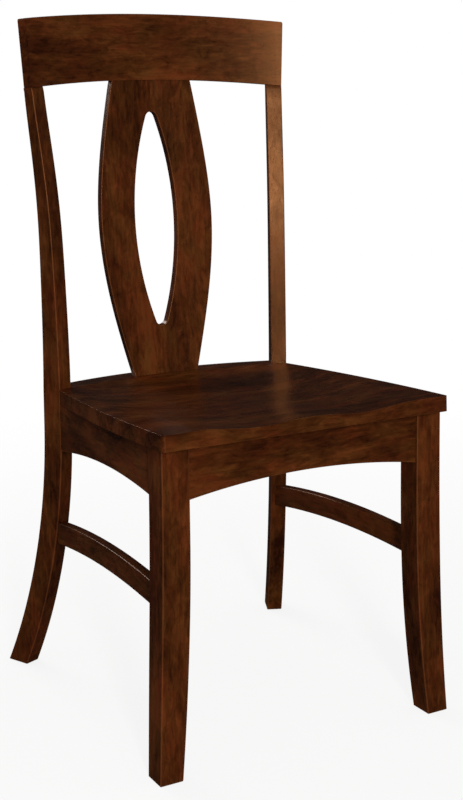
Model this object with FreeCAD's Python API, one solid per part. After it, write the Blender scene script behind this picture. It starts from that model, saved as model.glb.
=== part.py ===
import FreeCAD, Part
import math
import os

from FreeCAD import Placement, Rotation, Vector

# A dining side chair in solid wood: scooped seat, curved crest rail and a splat glued up from two
# mirrored halves round a pointed-oval opening. Sizes are in millimetres.
# The chair faces -Y, left is -X, and it is drawn with Y = 0 at the seat's front edge and Z = 0 on
# the floor. Each finished piece is then moved so that the origin lies under the middle of the chair.

# Seat
SEAT_FRONT_HEIGHT = 470.0
SEAT_SLOPE = 2.1
SEAT_THICK = 22.0
SEAT_FRONT_WIDTH = 447.4
SEAT_SIDE_BOW = 8.0
SEAT_BACK_Y = 478.0
SEAT_CORNER_RADIUS = 5.0
SEAT_EASE = 2.5
SEAT_BOARDS = 4
# Seat scoop: two dips at the front with a low crown between them, running into one wide bowl
DIP_DEPTH = 5.0
DIP_SPAN = 170.0
CROWN_DEPTH = 2.0
CROWN_HALF_WIDTH = 150.0
BOWL_DEPTH = 11.0
BOWL_HALF_WIDTH = 190.0
BOWL_START = 220.0
SCOOP_REAR_Y = 434.0
SCOOP_REAR_RADIUS = 600.0
SCOOP_WALL = 104.0

# Rear posts: the outer front corner at seat height, and how far the post turns to face the middle.
# Drops and rises are heights below and above the seat's front edge.
# The back curve gives shares of the height above the back's start with shares of the setback.
POST_CORNER_X = 199.8
POST_CORNER_Y = 398.0
POST_TURN = 24.0
POST_WIDTH = 25.2
POST_FOOT_DEPTH = 39.6
POST_SEAT_DEPTH = 34.6
POST_TOP_DEPTH = 17.2
FOOT_SETBACK = 90.0
SWEEP_TOP_DROP = 75.0
BACK_START_DROP = 18.0
TOP_SETBACK = 39.0
BACK_CURVE = ((0.36, 0.118), (0.60, 0.308), (0.80, 0.640))
POST_TOP_LEAN = 6.0

# Crest rail
CREST_RISE = 447.0
CREST_HEIGHT = 102.0
CREST_THICK = 17.5
CREST_FRONT_Y = 474.0
CREST_PLAN_RADIUS = 575.0
CREST_CROWN_RADIUS = 2100.0
CREST_LEAN = 3.4
CREST_END_FLARE = 2.0
CREST_CORNER_RADIUS = 3.0

# Splat
SPLAT_THICK = 14.0
SPLAT_TURN = 5.0
SPLAT_FOOT_Y = 440.0
SPLAT_TOP_Y = 477.5
SPLAT_BOW = 6.3
SPLAT_FOOT_HALF = 55.5
SPLAT_BELLY_HALF = 96.9
SPLAT_TOP_HALF = 68.2
BELLY_RISE = 232.0
LOW_SHOULDER_RISE = 104.0
LOW_SHOULDER_HALF = 83.9
HIGH_SHOULDER_RISE = 340.0
HIGH_SHOULDER_HALF = 87.4
EYE_RISE = 228.5
EYE_HALF_WIDTH = 36.8
EYE_HALF_LENGTH = 169.0
EYE_RADIUS = 497.0
TONGUE = 9.0
SPLAT_TENON_SHOULDER = 8.0
SPLAT_TONGUE_THICK = 7.0

# Front legs. Flare drops say how far below the seat's front edge the outer face, the inner face
# and the front and rear faces start to curve.
LEG_OUTER_X = 220.0
LEG_FRONT_Y = 12.5
LEG_SIZE = 40.0
OUTER_FLARE_DROP = 55.0
INNER_FLARE_DROP = 135.0
SIDE_FLARE_DROP = 255.0
FOOT_OUT = 13.3
FOOT_FORWARD = 5.0
LEG_FOOT_WIDTH = 34.1
LEG_FOOT_DEPTH = 36.2

# Aprons: how far the lower edge's ends lie below the seat's front edge, and how far its middle rises
APRON_THICK = 19.0
FRONT_APRON_SETBACK = 4.0
FRONT_APRON_DROP = 94.3
FRONT_APRON_RISE = 15.5
SIDE_APRON_INSET = 3.0
SIDE_APRON_POST_INSET = 1.0
SIDE_APRON_DROP_FRONT = 92.0
SIDE_APRON_DROP_REAR = 111.0
SIDE_APRON_RISE = 12.6
REAR_APRON_Y = 424.0
REAR_APRON_DROP = 104.0

# Side stretchers: the height of the lower edge at the leg and at the post
STRETCHER_THICK = 15.0
STRETCHER_HEIGHT = 33.0
STRETCHER_LEG_INSET = 6.0
STRETCHER_POST_INSET = 2.0
STRETCHER_LOW_FRONT = 224.8
STRETCHER_LOW_REAR = 210.8
STRETCHER_RISE = 10.8

# Joints
TENON_THICK = 9.0
TENON_SHOULDER = 9.0
STRETCHER_TENON_SHOULDER = 6.0
LEG_TENON = 20.0
POST_TENON = 13.0
REAR_TENON = 8.0
CLEARANCE = 0.2
DOWEL_DIAMETER = 6.0
DOWEL_REACH = 20.0
DOWEL_EDGE = 6.5

# Corner blocks and screws
BLOCK_HEIGHT = 26.0
FRONT_BLOCK_LEG = 68.0
REAR_BLOCK_LEG = 58.0
SCREW_DIAMETER = 4.0
SCREW_HEAD_DIAMETER = 8.0
SCREW_HEAD = 2.6
SCREW_BITE = 12.0
SCREW_WOOD = 12.0
SEAT_SCREW_BITE = 12.0
SEAT_SCREW_WOOD = 20.0

# Helper sizes for shapes that are cut to length afterwards
FAR = 3000.0
OVERRUN = 60.0

slope = math.radians(SEAT_SLOPE)
turn = math.radians(POST_TURN)
post_out = Vector(math.cos(turn), -math.sin(turn), 0)
post_back = Vector(math.sin(turn), math.cos(turn), 0)
post_corner = Vector(POST_CORNER_X, POST_CORNER_Y, 0)
sweep_top = SEAT_FRONT_HEIGHT - SWEEP_TOP_DROP
back_start = SEAT_FRONT_HEIGHT - BACK_START_DROP
crest_bottom = SEAT_FRONT_HEIGHT + CREST_RISE
leg_inner_x = LEG_OUTER_X - LEG_SIZE
leg_rear_y = LEG_FRONT_Y + LEG_SIZE
eye_height = SEAT_FRONT_HEIGHT + EYE_RISE
crest_corner_drop = CREST_CROWN_RADIUS - math.sqrt(CREST_CROWN_RADIUS ** 2 - POST_CORNER_X ** 2)

front_extent = -SEAT_THICK * math.sin(slope)
rear_extent = (
    POST_CORNER_Y
    + (FOOT_SETBACK + POST_FOOT_DEPTH) * math.cos(turn)
    + POST_WIDTH * math.sin(turn)
)
centre_shift = Vector(0, -(front_extent + rear_extent) / 2, 0)


def line(a, b):
    return Part.LineSegment(a, b).toShape()


def arc(a, b, c):
    return Part.Arc(a, b, c).toShape()


def spline(points):
    curve = Part.BSplineCurve()
    curve.interpolate(points)
    return curve.toShape()


def face(edges):
    return Part.Face(Part.Wire(Part.__sortEdges__(edges)))


def polygon(points):
    return Part.Face(Part.makePolygon(points + [points[0]]))


def mirrored(shape):
    return shape.mirror(Vector(0, 0, 0), Vector(1, 0, 0))


def half_space(point, normal):
    """A large box that fills the side of the plane that the normal points to."""
    box = Part.makeBox(FAR, FAR, FAR, Vector(-FAR / 2, -FAR / 2, 0))
    box.Placement = Placement(point, Rotation(Vector(0, 0, 1), normal))
    return box


def main_solid(shape):
    return max(shape.Solids, key=lambda solid: solid.Volume)


def both_sides(solids):
    return solids + [mirrored(solid) for solid in solids]


def cut_all(shape, tools):
    for tool in tools:
        shape = shape.cut(tool)
    return main_solid(shape)


def on_seat(shape):
    """Moves a shape drawn with its top at Z = 0 onto the sloping seat."""
    shape.rotate(Vector(0, 0, 0), Vector(1, 0, 0), -SEAT_SLOPE)
    shape.translate(Vector(0, 0, SEAT_FRONT_HEIGHT))
    return shape


def seat_top(y):
    return SEAT_FRONT_HEIGHT - y * math.tan(slope)


def seat_underside(y):
    return seat_top(y) - SEAT_THICK / math.cos(slope)


def above_underside(inset=0.0):
    """All that lies above the seat's underside, less an inset."""
    corner = Vector(-FAR / 2, -FAR / 2, -SEAT_THICK - inset)
    return on_seat(Part.makeBox(FAR, FAR, FAR, corner))


# Rear posts

def sweep_setback(z):
    """How far the post's front face lies behind its corner, from the floor to the sweep's top."""
    radius = (sweep_top ** 2 + FOOT_SETBACK ** 2) / (2 * FOOT_SETBACK)
    return radius - math.sqrt(radius ** 2 - (sweep_top - z) ** 2)


def post_depth(z):
    if z < back_start:
        share = z / back_start
        return POST_FOOT_DEPTH + (POST_SEAT_DEPTH - POST_FOOT_DEPTH) * share
    share = (z - back_start) / (crest_bottom - back_start)
    return POST_SEAT_DEPTH + (POST_TOP_DEPTH - POST_SEAT_DEPTH) * share


def back_points():
    """Height and setback of the post's front face along its raked upper part."""
    back_height = crest_bottom - back_start
    points = [(back_start, 0.0)]
    for height_share, rake_share in BACK_CURVE:
        points.append((back_start + back_height * height_share, TOP_SETBACK * rake_share))
    points.append((crest_bottom, TOP_SETBACK))
    return points


def post_solid():
    """The right post, up to the crest rail's highest point."""
    sweep_steps = 4
    sweep = [sweep_top * step / sweep_steps for step in range(sweep_steps + 1)]
    low = [Vector(0, sweep_setback(z), z) for z in sweep]
    high = [Vector(0, setback, z) for z, setback in back_points()]
    rear = [Vector(0, point.y + post_depth(point.z), point.z) for point in low + high]
    back = Part.BSplineCurve()
    back.interpolate(
        Points=high,
        InitialTangent=Vector(0, 0, 1),
        FinalTangent=Vector(0, math.tan(math.radians(POST_TOP_LEAN)), 1),
    )
    outline = face([
        arc(low[0], low[2], low[4]),
        line(low[4], high[0]),
        back.toShape(),
        spline(rear),
        line(low[0], rear[0]),
        line(high[-1], rear[-1]),
    ])
    post = outline.extrude(Vector(-POST_WIDTH, 0, 0))
    post.rotate(Vector(0, 0, 0), Vector(0, 0, 1), -POST_TURN)
    post.translate(post_corner)
    return post


def above_crest_underside():
    """All that lies above the crest rail's arched lower edge."""
    return Part.Face(crest_outline(crest_bottom, FAR / 2)).extrude(Vector(0, FAR, 0))


# Crest rail

def crest_edge(z, half_width):
    drop = CREST_CROWN_RADIUS - math.sqrt(CREST_CROWN_RADIUS ** 2 - half_width ** 2)
    return arc(Vector(-half_width, 0, z - drop), Vector(0, 0, z), Vector(half_width, 0, z - drop))


def crest_outline(bottom, height):
    """The front view between two arched edges, wider than the rail."""
    half_width = POST_CORNER_X + OVERRUN
    low = crest_edge(bottom, half_width)
    high = crest_edge(bottom + height, half_width)
    ends = []
    for side in (0, 1):
        ends.append(line(low.Vertexes[side].Point, high.Vertexes[side].Point))
    return Part.Wire(Part.__sortEdges__([low, high] + ends))


def crest_blank():
    """A curved slab, leaning back, whose front face is concave."""
    centre = Vector(0, CREST_FRONT_Y - CREST_PLAN_RADIUS, crest_bottom - OVERRUN)
    height = CREST_HEIGHT + 2 * OVERRUN
    outer = Part.makeCylinder(CREST_PLAN_RADIUS + CREST_THICK, height, centre)
    inner = Part.makeCylinder(CREST_PLAN_RADIUS, height, centre)
    slab = outer.cut(inner)
    pivot = Vector(0, CREST_FRONT_Y, crest_bottom)
    slab.rotate(pivot, Vector(1, 0, 0), -CREST_LEAN)
    return slab


def crest_rail():
    outline = Part.Face(crest_outline(crest_bottom, CREST_HEIGHT)).extrude(Vector(0, FAR, 0))
    rail = crest_blank().common(outline)
    flare = math.radians(CREST_END_FLARE)
    normal = post_out * math.cos(flare) - Vector(0, 0, math.sin(flare))
    end = half_space(post_corner + Vector(0, 0, crest_bottom), normal)
    rail = rail.cut(end).cut(mirrored(end))
    rail = main_solid(rail)
    corners = []
    for edge in rail.Edges:
        ends = [vertex.Point for vertex in edge.Vertexes]
        level = abs(ends[0].z - ends[-1].z) < CREST_THICK / 2
        across = abs(ends[0].x - ends[-1].x) < CREST_THICK and edge.Length < 2 * CREST_THICK
        high = min(end.z for end in ends) > crest_bottom + CREST_HEIGHT / 2
        if level and across and high:
            corners.append(edge)
    return main_solid(rail.makeFillet(CREST_CORNER_RADIUS, corners))


# Splat

def splat_band(front_offset, thickness, low, high):
    """A side view of the splat between two heights, drawn in the plane X = 0."""
    height = crest_bottom - seat_top(SPLAT_FOOT_Y)

    def front(z):
        share = (z - seat_top(SPLAT_FOOT_Y)) / height
        chord = SPLAT_FOOT_Y + (SPLAT_TOP_Y - SPLAT_FOOT_Y) * share
        return chord + 4 * SPLAT_BOW * share * (1 - share) + front_offset

    heights = (low, (low + high) / 2, high)
    faces = []
    for depth in (0, thickness):
        faces.append([Vector(0, front(z) + depth, z) for z in heights])
    return face([
        arc(*faces[0]),
        arc(*faces[1]),
        line(faces[0][0], faces[1][0]),
        line(faces[0][2], faces[1][2]),
    ])


def splat_slab(front_offset, thickness, low, high):
    """The right half's blank, whose mitred edge lies in the plane X = 0."""
    angle = math.radians(SPLAT_TURN)
    reach = SPLAT_BELLY_HALF + OVERRUN
    across = Vector(math.cos(angle), -math.sin(angle), 0) * reach
    return splat_band(front_offset, thickness / math.cos(angle), low, high).extrude(across)


def eye_outline():
    """The pointed oval: two large arcs joined by small tangent arcs at the ends."""
    centre_x = EYE_RADIUS - EYE_HALF_WIDTH
    radius = (EYE_RADIUS ** 2 - centre_x ** 2 - EYE_HALF_LENGTH ** 2) / (
        2 * (EYE_RADIUS - EYE_HALF_LENGTH)
    )
    end_z = EYE_HALF_LENGTH - radius
    reach = math.hypot(centre_x, end_z)
    tangent = Vector(centre_x / reach * radius, 0, end_z + end_z / reach * radius)
    points = {}
    for side in (-1, 1):
        for end in (-1, 1):
            points[side, end] = Vector(side * tangent.x, 0, eye_height + end * tangent.z)
    edges = []
    for side in (-1, 1):
        middle = Vector(side * EYE_HALF_WIDTH, 0, eye_height)
        edges.append(arc(points[side, -1], middle, points[side, 1]))
    for end in (-1, 1):
        tip = Vector(0, 0, eye_height + end * EYE_HALF_LENGTH)
        edges.append(arc(points[-1, end], tip, points[1, end]))
    return face(edges)


def splat_outline():
    """The front view of both halves together, longer than the splat at both ends."""
    foot_z = seat_top(SPLAT_FOOT_Y)
    low_z = foot_z - OVERRUN
    high_z = crest_bottom + OVERRUN
    edges = []
    for side in (-1, 1):
        points = [Vector(side * SPLAT_FOOT_HALF, 0, foot_z)]
        for half, rise in (
            (LOW_SHOULDER_HALF, LOW_SHOULDER_RISE),
            (SPLAT_BELLY_HALF, BELLY_RISE),
            (HIGH_SHOULDER_HALF, HIGH_SHOULDER_RISE),
            (SPLAT_TOP_HALF, CREST_RISE),
        ):
            points.append(Vector(side * half, 0, SEAT_FRONT_HEIGHT + rise))
        low = Vector(side * SPLAT_FOOT_HALF, 0, low_z)
        high = Vector(side * SPLAT_TOP_HALF, 0, high_z)
        edges.append(line(low, points[0]))
        edges.append(spline(points))
        edges.append(line(points[-1], high))
    for z, half in ((low_z, SPLAT_FOOT_HALF), (high_z, SPLAT_TOP_HALF)):
        edges.append(line(Vector(-half, 0, z), Vector(half, 0, z)))
    return face(edges)


def splat_tenon(play=0.0):
    """The right half's tongue into the seat and into the crest rail, with play for its mortise."""
    foot_z = seat_top(SPLAT_FOOT_Y)
    offset = (SPLAT_THICK - SPLAT_TONGUE_THICK) / 2 - play
    thickness = SPLAT_TONGUE_THICK + 2 * play
    pieces = []
    for middle, half in ((foot_z, SPLAT_FOOT_HALF), (crest_bottom, SPLAT_TOP_HALF)):
        low = middle - TONGUE - play
        high = middle + TONGUE + play
        slab = splat_slab(offset, thickness, low, high)
        width = half - SPLAT_TENON_SHOULDER + play
        pieces.append(slab.common(Part.makeBox(width, FAR, 2 * (TONGUE + play), Vector(0, 0, low))))
    return pieces


def splat_half():
    """The right half, between the seat's border and the crest rail's lower edge."""
    low = seat_top(SPLAT_FOOT_Y) - SEAT_THICK / 2
    slab = splat_slab(0, SPLAT_THICK, low, crest_bottom + OVERRUN / 2)
    outline = splat_outline().cut(eye_outline()).extrude(Vector(0, FAR, 0))
    half = slab.common(outline)
    below_seat = on_seat(Part.makeBox(FAR, FAR, FAR, Vector(-FAR / 2, -FAR / 2, -FAR)))
    half = main_solid(half.cut(below_seat).cut(above_crest_underside()))
    for tenon in splat_tenon():
        half = half.fuse(tenon)
    return main_solid(half.removeSplitter())


# Front legs

def flared_edge(place, shift, start, top):
    """A straight upper edge that runs, from a start height down, into a tangent arc to the foot.

    The place function turns an offset and a height into a point."""
    radius = (start ** 2 + shift ** 2) / (2 * abs(shift))
    middle = radius - math.sqrt(radius ** 2 - (start / 2) ** 2)
    middle = math.copysign(middle, shift)
    curve = arc(place(shift, 0), place(middle, start / 2), place(0, start))
    return [curve, line(place(0, start), place(0, top))]


def tapered_profile(low, high, point):
    """One view of a leg between two flared edges, taller than the leg.

    Each edge is its place, its shift at the floor and how far below the seat it starts."""
    top = SEAT_FRONT_HEIGHT
    edges = []
    for place, shift, drop in (low, high):
        along = lambda offset, z, at=place: point(at + offset, z)
        edges += flared_edge(along, shift, top - drop, top)
    (low, low_shift, _), (high, high_shift, _) = low, high
    edges.append(line(point(low + low_shift, 0), point(high + high_shift, 0)))
    edges.append(line(point(low, top), point(high, top)))
    return face(edges)


def front_leg():
    foot_inner_shift = LEG_SIZE + FOOT_OUT - LEG_FOOT_WIDTH
    foot_rear_shift = LEG_FOOT_DEPTH - LEG_SIZE - FOOT_FORWARD
    front_view = tapered_profile(
        (leg_inner_x, foot_inner_shift, INNER_FLARE_DROP),
        (LEG_OUTER_X, FOOT_OUT, OUTER_FLARE_DROP),
        lambda x, z: Vector(x, 0, z),
    ).extrude(Vector(0, FAR, 0))
    front_view.translate(Vector(0, -FAR / 2, 0))
    side_view = tapered_profile(
        (LEG_FRONT_Y, -FOOT_FORWARD, SIDE_FLARE_DROP),
        (leg_rear_y, foot_rear_shift, SIDE_FLARE_DROP),
        lambda y, z: Vector(0, y, z),
    ).extrude(Vector(FAR, 0, 0))
    leg = front_view.common(side_view)
    return main_solid(leg.cut(above_underside()))


# Rails: aprons and stretchers

class Rail:
    """A straight board on edge between two points in plan, with an arched lower edge.

    With a height the upper edge follows the arch, and without one it meets the seat."""

    def __init__(self, start, end, low_start, low_end, rise, thickness, height=None):
        self.start = start
        self.length = (end - start).Length
        self.angle = math.degrees(math.atan2(end.y - start.y, end.x - start.x))
        self.low_start = low_start
        self.low_end = low_end
        self.rise = rise
        self.thickness = thickness
        self.height = height

    def low(self, u, lift=0.0):
        share = u / self.length
        chord = self.low_start + (self.low_end - self.low_start) * share
        return Vector(u, 0, chord + 4 * self.rise * share * (1 - share) + lift)

    def board(self, thickness, inset):
        """The board, longer than its span, with the inset taken off its upper and lower edges."""
        ends = (-OVERRUN, self.length / 2, self.length + OVERRUN)
        lower = [self.low(u, inset) for u in ends]
        if self.height is None:
            upper = [Vector(u, 0, SEAT_FRONT_HEIGHT) for u in ends]
            upper_edge = line(upper[0], upper[2])
        else:
            upper = [self.low(u, self.height - inset) for u in ends]
            upper_edge = arc(*upper)
        lower_edge = arc(*lower) if self.rise else line(lower[0], lower[2])
        outline = face([
            lower_edge,
            upper_edge,
            line(lower[0], upper[0]),
            line(lower[2], upper[2]),
        ])
        outline.translate(Vector(0, -thickness / 2, 0))
        board = outline.extrude(Vector(0, thickness, 0))
        board.Placement = Placement(self.start, Rotation(Vector(0, 0, 1), self.angle))
        if self.height is None:
            board = board.cut(above_underside(inset))
        return board

    def made(self, stops, shoulder):
        """The board cut square to its stops, with a tenon past each stop by the stop's reach.

        A stop is a point on the face that the rail meets, that face's normal and the reach."""
        body = self.board(self.thickness, 0)
        tenon = self.board(TENON_THICK, shoulder)
        for point, normal, reach in stops:
            body = body.cut(half_space(point, normal))
            tenon = tenon.cut(half_space(point + normal * reach, normal))
        return main_solid(body.fuse(tenon).removeSplitter())

    def mortise(self, stops, shoulder):
        """The space that the tenons need, with clearance all round."""
        tenon = self.board(TENON_THICK + 2 * CLEARANCE, shoulder - CLEARANCE)
        for point, normal, reach in stops:
            tenon = tenon.cut(half_space(point + normal * (reach + CLEARANCE), normal))
        return tenon


leg_rear_stop = (Vector(0, leg_rear_y, 0), Vector(0, -1, 0), LEG_TENON)
post_front_stop = (post_corner, post_back, POST_TENON)

front_apron_y = LEG_FRONT_Y + FRONT_APRON_SETBACK + APRON_THICK / 2
front_apron = Rail(
    Vector(-leg_inner_x, front_apron_y, 0),
    Vector(leg_inner_x, front_apron_y, 0),
    SEAT_FRONT_HEIGHT - FRONT_APRON_DROP,
    SEAT_FRONT_HEIGHT - FRONT_APRON_DROP,
    FRONT_APRON_RISE,
    APRON_THICK,
)
front_apron_stops = (
    (Vector(leg_inner_x, 0, 0), Vector(1, 0, 0), LEG_TENON),
    (Vector(-leg_inner_x, 0, 0), Vector(-1, 0, 0), LEG_TENON),
)

side_apron_start = Vector(LEG_OUTER_X - SIDE_APRON_INSET - APRON_THICK / 2, leg_rear_y, 0)
side_apron_end = post_corner - post_out * (SIDE_APRON_POST_INSET + APRON_THICK / 2)
side_apron = Rail(
    side_apron_start,
    side_apron_end,
    SEAT_FRONT_HEIGHT - SIDE_APRON_DROP_FRONT,
    SEAT_FRONT_HEIGHT - SIDE_APRON_DROP_REAR,
    SIDE_APRON_RISE,
    APRON_THICK,
)
side_stops = (leg_rear_stop, post_front_stop)

stretcher_mid = (STRETCHER_LOW_FRONT + STRETCHER_LOW_REAR + STRETCHER_HEIGHT) / 2
stretcher_post_back = post_back * sweep_setback(stretcher_mid)
stretcher_post_in = post_out * (STRETCHER_POST_INSET + STRETCHER_THICK / 2)
side_stretcher = Rail(
    Vector(LEG_OUTER_X - STRETCHER_LEG_INSET - STRETCHER_THICK / 2, leg_rear_y, 0),
    post_corner + stretcher_post_back - stretcher_post_in,
    STRETCHER_LOW_FRONT,
    STRETCHER_LOW_REAR,
    STRETCHER_RISE,
    STRETCHER_THICK,
    STRETCHER_HEIGHT,
)

rear_apron_half = POST_CORNER_X - POST_WIDTH * math.cos(turn)
rear_apron = Rail(
    Vector(-rear_apron_half, REAR_APRON_Y, 0),
    Vector(rear_apron_half, REAR_APRON_Y, 0),
    SEAT_FRONT_HEIGHT - REAR_APRON_DROP,
    SEAT_FRONT_HEIGHT - REAR_APRON_DROP,
    0.0,
    APRON_THICK,
)
post_inner = post_corner - post_out * POST_WIDTH
rear_apron_stops = (
    (post_inner, post_out, REAR_TENON),
    (Vector(-post_inner.x, post_inner.y, 0), Vector(-post_out.x, post_out.y, 0), REAR_TENON),
)


def behind_post_front(offset):
    """All that lies behind the swept part of the right post's front face, moved back by the offset."""
    ends = [Vector(0, sweep_setback(z) + offset, z) for z in (0, sweep_top / 2, sweep_top)]
    far = [Vector(0, FAR, point.z) for point in ends]
    outline = face([
        arc(*ends),
        line(ends[0], far[0]),
        line(far[0], far[2]),
        line(far[2], ends[2]),
    ])
    outline.translate(Vector(FAR / 2, 0, 0))
    space = outline.extrude(Vector(-FAR, 0, 0))
    space.rotate(Vector(0, 0, 0), Vector(0, 0, 1), -POST_TURN)
    space.translate(post_corner)
    return space


def stretcher_tenon(thickness, shoulder, play):
    """Both tenons in one bar, from inside the leg to inside the post."""
    point, normal, reach = leg_rear_stop
    tenon = side_stretcher.board(thickness, shoulder)
    tenon = tenon.cut(half_space(point + normal * (reach + play), normal))
    return tenon.cut(behind_post_front(POST_TENON + play))


def stretcher_solid():
    """The right stretcher, with its shoulders just clear of the leg and of the post's curve."""
    body = side_stretcher.board(STRETCHER_THICK, 0)
    point, normal, reach = leg_rear_stop
    body = body.cut(half_space(point, normal)).cut(behind_post_front(-CLEARANCE))
    tenon = stretcher_tenon(TENON_THICK, STRETCHER_TENON_SHOULDER, 0)
    return main_solid(body.fuse(tenon).removeSplitter())


def stretcher_mortise():
    return stretcher_tenon(
        TENON_THICK + 2 * CLEARANCE, STRETCHER_TENON_SHOULDER - CLEARANCE, CLEARANCE
    )


# Seat

def smooth_step(value):
    value = min(1.0, max(0.0, value))
    return value * value * (3 - 2 * value)


def scoop_depth(x, y):
    """Depth of the scoop below the seat's flat top; negative outside the scoop."""
    front = CROWN_DEPTH * (1 - (x / CROWN_HALF_WIDTH) ** 2)
    if abs(x) < DIP_SPAN:
        front += DIP_DEPTH * math.sin(math.pi * abs(x) / DIP_SPAN) ** 2
    bowl = BOWL_DEPTH * (1 - (x / BOWL_HALF_WIDTH) ** 4)
    share = smooth_step(y / BOWL_START)
    rear_edge = SCOOP_REAR_Y - SCOOP_REAR_RADIUS + math.sqrt(SCOOP_REAR_RADIUS ** 2 - x ** 2)
    climb = max(0.0, (y - rear_edge + SCOOP_WALL) / SCOOP_WALL)
    depth = front * (1 - share) + bowl * share
    return depth - max(0.0, depth) * climb ** 3


def scoop_cutter():
    """The wood above the scoop's surface, as one solid."""
    steps = 26
    half_width = SEAT_FRONT_WIDTH / 2 + OVERRUN / 2
    near = -OVERRUN / 2
    far = SEAT_BACK_Y + OVERRUN / 4
    rows = []
    for row in range(steps + 1):
        y = near + (far - near) * row / steps
        xs = [half_width * (2 * column / steps - 1) for column in range(steps + 1)]
        rows.append([Vector(x, y, -scoop_depth(x, y)) for x in xs])
    surface = Part.BSplineSurface()
    surface.interpolate(rows)
    return surface.toShape().extrude(Vector(0, 0, 2 * OVERRUN))


def seat_outline():
    """The seat's plan before it is notched round the posts."""
    front_half = SEAT_FRONT_WIDTH / 2
    rear = post_corner - post_out * POST_WIDTH + post_back * POST_SEAT_DEPTH
    side_middle = Vector((front_half + POST_CORNER_X) / 2 + SEAT_SIDE_BOW, POST_CORNER_Y / 2, 0)
    edges = [
        line(Vector(-front_half, 0, 0), Vector(front_half, 0, 0)),
        arc(Vector(-rear.x, rear.y, 0), Vector(0, SEAT_BACK_Y, 0), rear),
    ]
    for side in (-1, 1):
        points = []
        for point in (Vector(front_half, 0, 0), side_middle, post_corner, rear):
            points.append(Vector(side * point.x, point.y, 0))
        edges.append(arc(points[0], points[1], points[2]))
        edges.append(line(points[2], points[3]))
    return face(edges)


def post_notch():
    """The upright space that the right post needs through the seat."""
    front = post_corner - post_back * CLEARANCE
    near = front - post_out * (POST_WIDTH + CLEARANCE)
    far = front + post_out * OVERRUN
    reach = post_back * OVERRUN
    return polygon([near, far, far + reach, near + reach]).extrude(Vector(0, 0, FAR))


def seat_solid():
    """The whole seat on its slope, before it is parted into boards."""
    slab = seat_outline().extrude(Vector(0, 0, -SEAT_THICK))
    corners = []
    for edge in slab.Edges:
        middle = edge.CenterOfMass
        upright = abs(middle.z + SEAT_THICK / 2) < CLEARANCE
        if upright and middle.y < SEAT_CORNER_RADIUS:
            corners.append(edge)
    slab = slab.makeFillet(SEAT_CORNER_RADIUS, corners)
    rims = []
    for edge in slab.Edges:
        middle = edge.valueAt((edge.FirstParameter + edge.LastParameter) / 2)
        level = edge.BoundBox.ZLength < CLEARANCE
        beside_post = middle.y > POST_CORNER_Y and abs(middle.x) > POST_WIDTH
        if level and not beside_post:
            rims.append(edge)
    slab = slab.makeFillet(SEAT_EASE, rims)
    seat = on_seat(slab.cut(scoop_cutter()))
    return cut_all(seat, both_sides([post_notch()]))


# Corner blocks and screws

def screw(seat_point, direction, wood, bite, play=0.0):
    """A pan-head screw; the seat point is under its head. With play it is the hole it needs."""
    radius = SCREW_DIAMETER / 2 + play
    tip = SCREW_DIAMETER / 2
    start = seat_point - direction * SCREW_HEAD
    head_height = SCREW_HEAD
    head_radius = SCREW_HEAD_DIAMETER / 2
    if play:
        head_height += OVERRUN
        head_radius += 2 * play
        start = start - direction * OVERRUN
    shank = Part.makeCylinder(radius, wood + bite - tip + play, seat_point, direction)
    point = Part.makeCone(
        radius, radius / 4, tip, seat_point + direction * (wood + bite - tip + play), direction
    )
    head = Part.makeCylinder(head_radius, head_height, start, direction)
    body = head.fuse(shank).fuse(point)
    if play:
        return body
    socket = SCREW_HEAD * 0.6
    width = SCREW_DIAMETER * 0.6
    recess = Part.makeBox(width, width, 2 * socket, Vector(-width / 2, -width / 2, -socket))
    recess.Placement = Placement(start, Rotation(Vector(0, 0, 1), direction))
    return main_solid(body.cut(recess).removeSplitter())


def side_inner_point(y):
    """A point on the side apron's inner face."""
    along = side_apron_end - side_apron_start
    share = (y - side_apron_start.y) / along.y
    inward = Vector(-along.y, along.x, 0).normalize() * (APRON_THICK / 2)
    return side_apron_start + along * share + inward


side_along = (side_apron_end - side_apron_start).normalize()
side_out = Vector(side_along.y, -side_along.x, 0)
front_apron_inner_y = front_apron_y + APRON_THICK / 2
rear_apron_inner_y = REAR_APRON_Y - APRON_THICK / 2


def block_blank(corner, along_apron, along_side, low, neighbours):
    """A triangular block in the corner of two aprons, cut to fit what stands in its corner."""
    base = Vector(0, 0, low)
    plan = polygon([corner + base, corner + along_apron + base, corner + along_side + base])
    block = plan.extrude(Vector(0, 0, SEAT_FRONT_HEIGHT - low)).cut(above_underside())
    for neighbour in neighbours:
        block = block.cut(neighbour)
    return main_solid(block)


def fitted_to_apron(block, y, normal):
    """Trims the block at the apron's inner face."""
    return block.cut(half_space(Vector(0, y, 0), normal))


def corner_block_parts(corner_y, apron_normal, leg_length, neighbours):
    """A right-hand block with its screws and the holes that they need."""
    corner = Vector(side_inner_point(corner_y).x, corner_y, 0)
    along_apron = Vector(-leg_length, 0, 0)
    along_side = side_along * (-apron_normal.y * leg_length)
    low = seat_underside(corner_y) - BLOCK_HEIGHT
    block = block_blank(corner, along_apron, along_side, low, neighbours)
    block = block.cut(half_space(side_inner_point(corner_y), side_out))
    block = main_solid(fitted_to_apron(block, corner_y, apron_normal))
    mid_z = low + BLOCK_HEIGHT / 2
    screw_share = 0.68
    apron_seat = corner + along_apron * screw_share - apron_normal * SCREW_WOOD
    side_seat = corner + along_side * screw_share - side_out * SCREW_WOOD
    under = corner + (along_apron + along_side) * 0.3
    under_z = seat_underside(under.y) - SEAT_SCREW_WOOD
    places = [
        (apron_seat + Vector(0, 0, mid_z), apron_normal, SCREW_WOOD, SCREW_BITE),
        (side_seat + Vector(0, 0, mid_z), side_out, SCREW_WOOD, SCREW_BITE),
    ]
    seat_place = (
        Vector(under.x, under.y, under_z), Vector(0, 0, 1), SEAT_SCREW_WOOD, SEAT_SCREW_BITE
    )
    return block, places, seat_place


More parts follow.
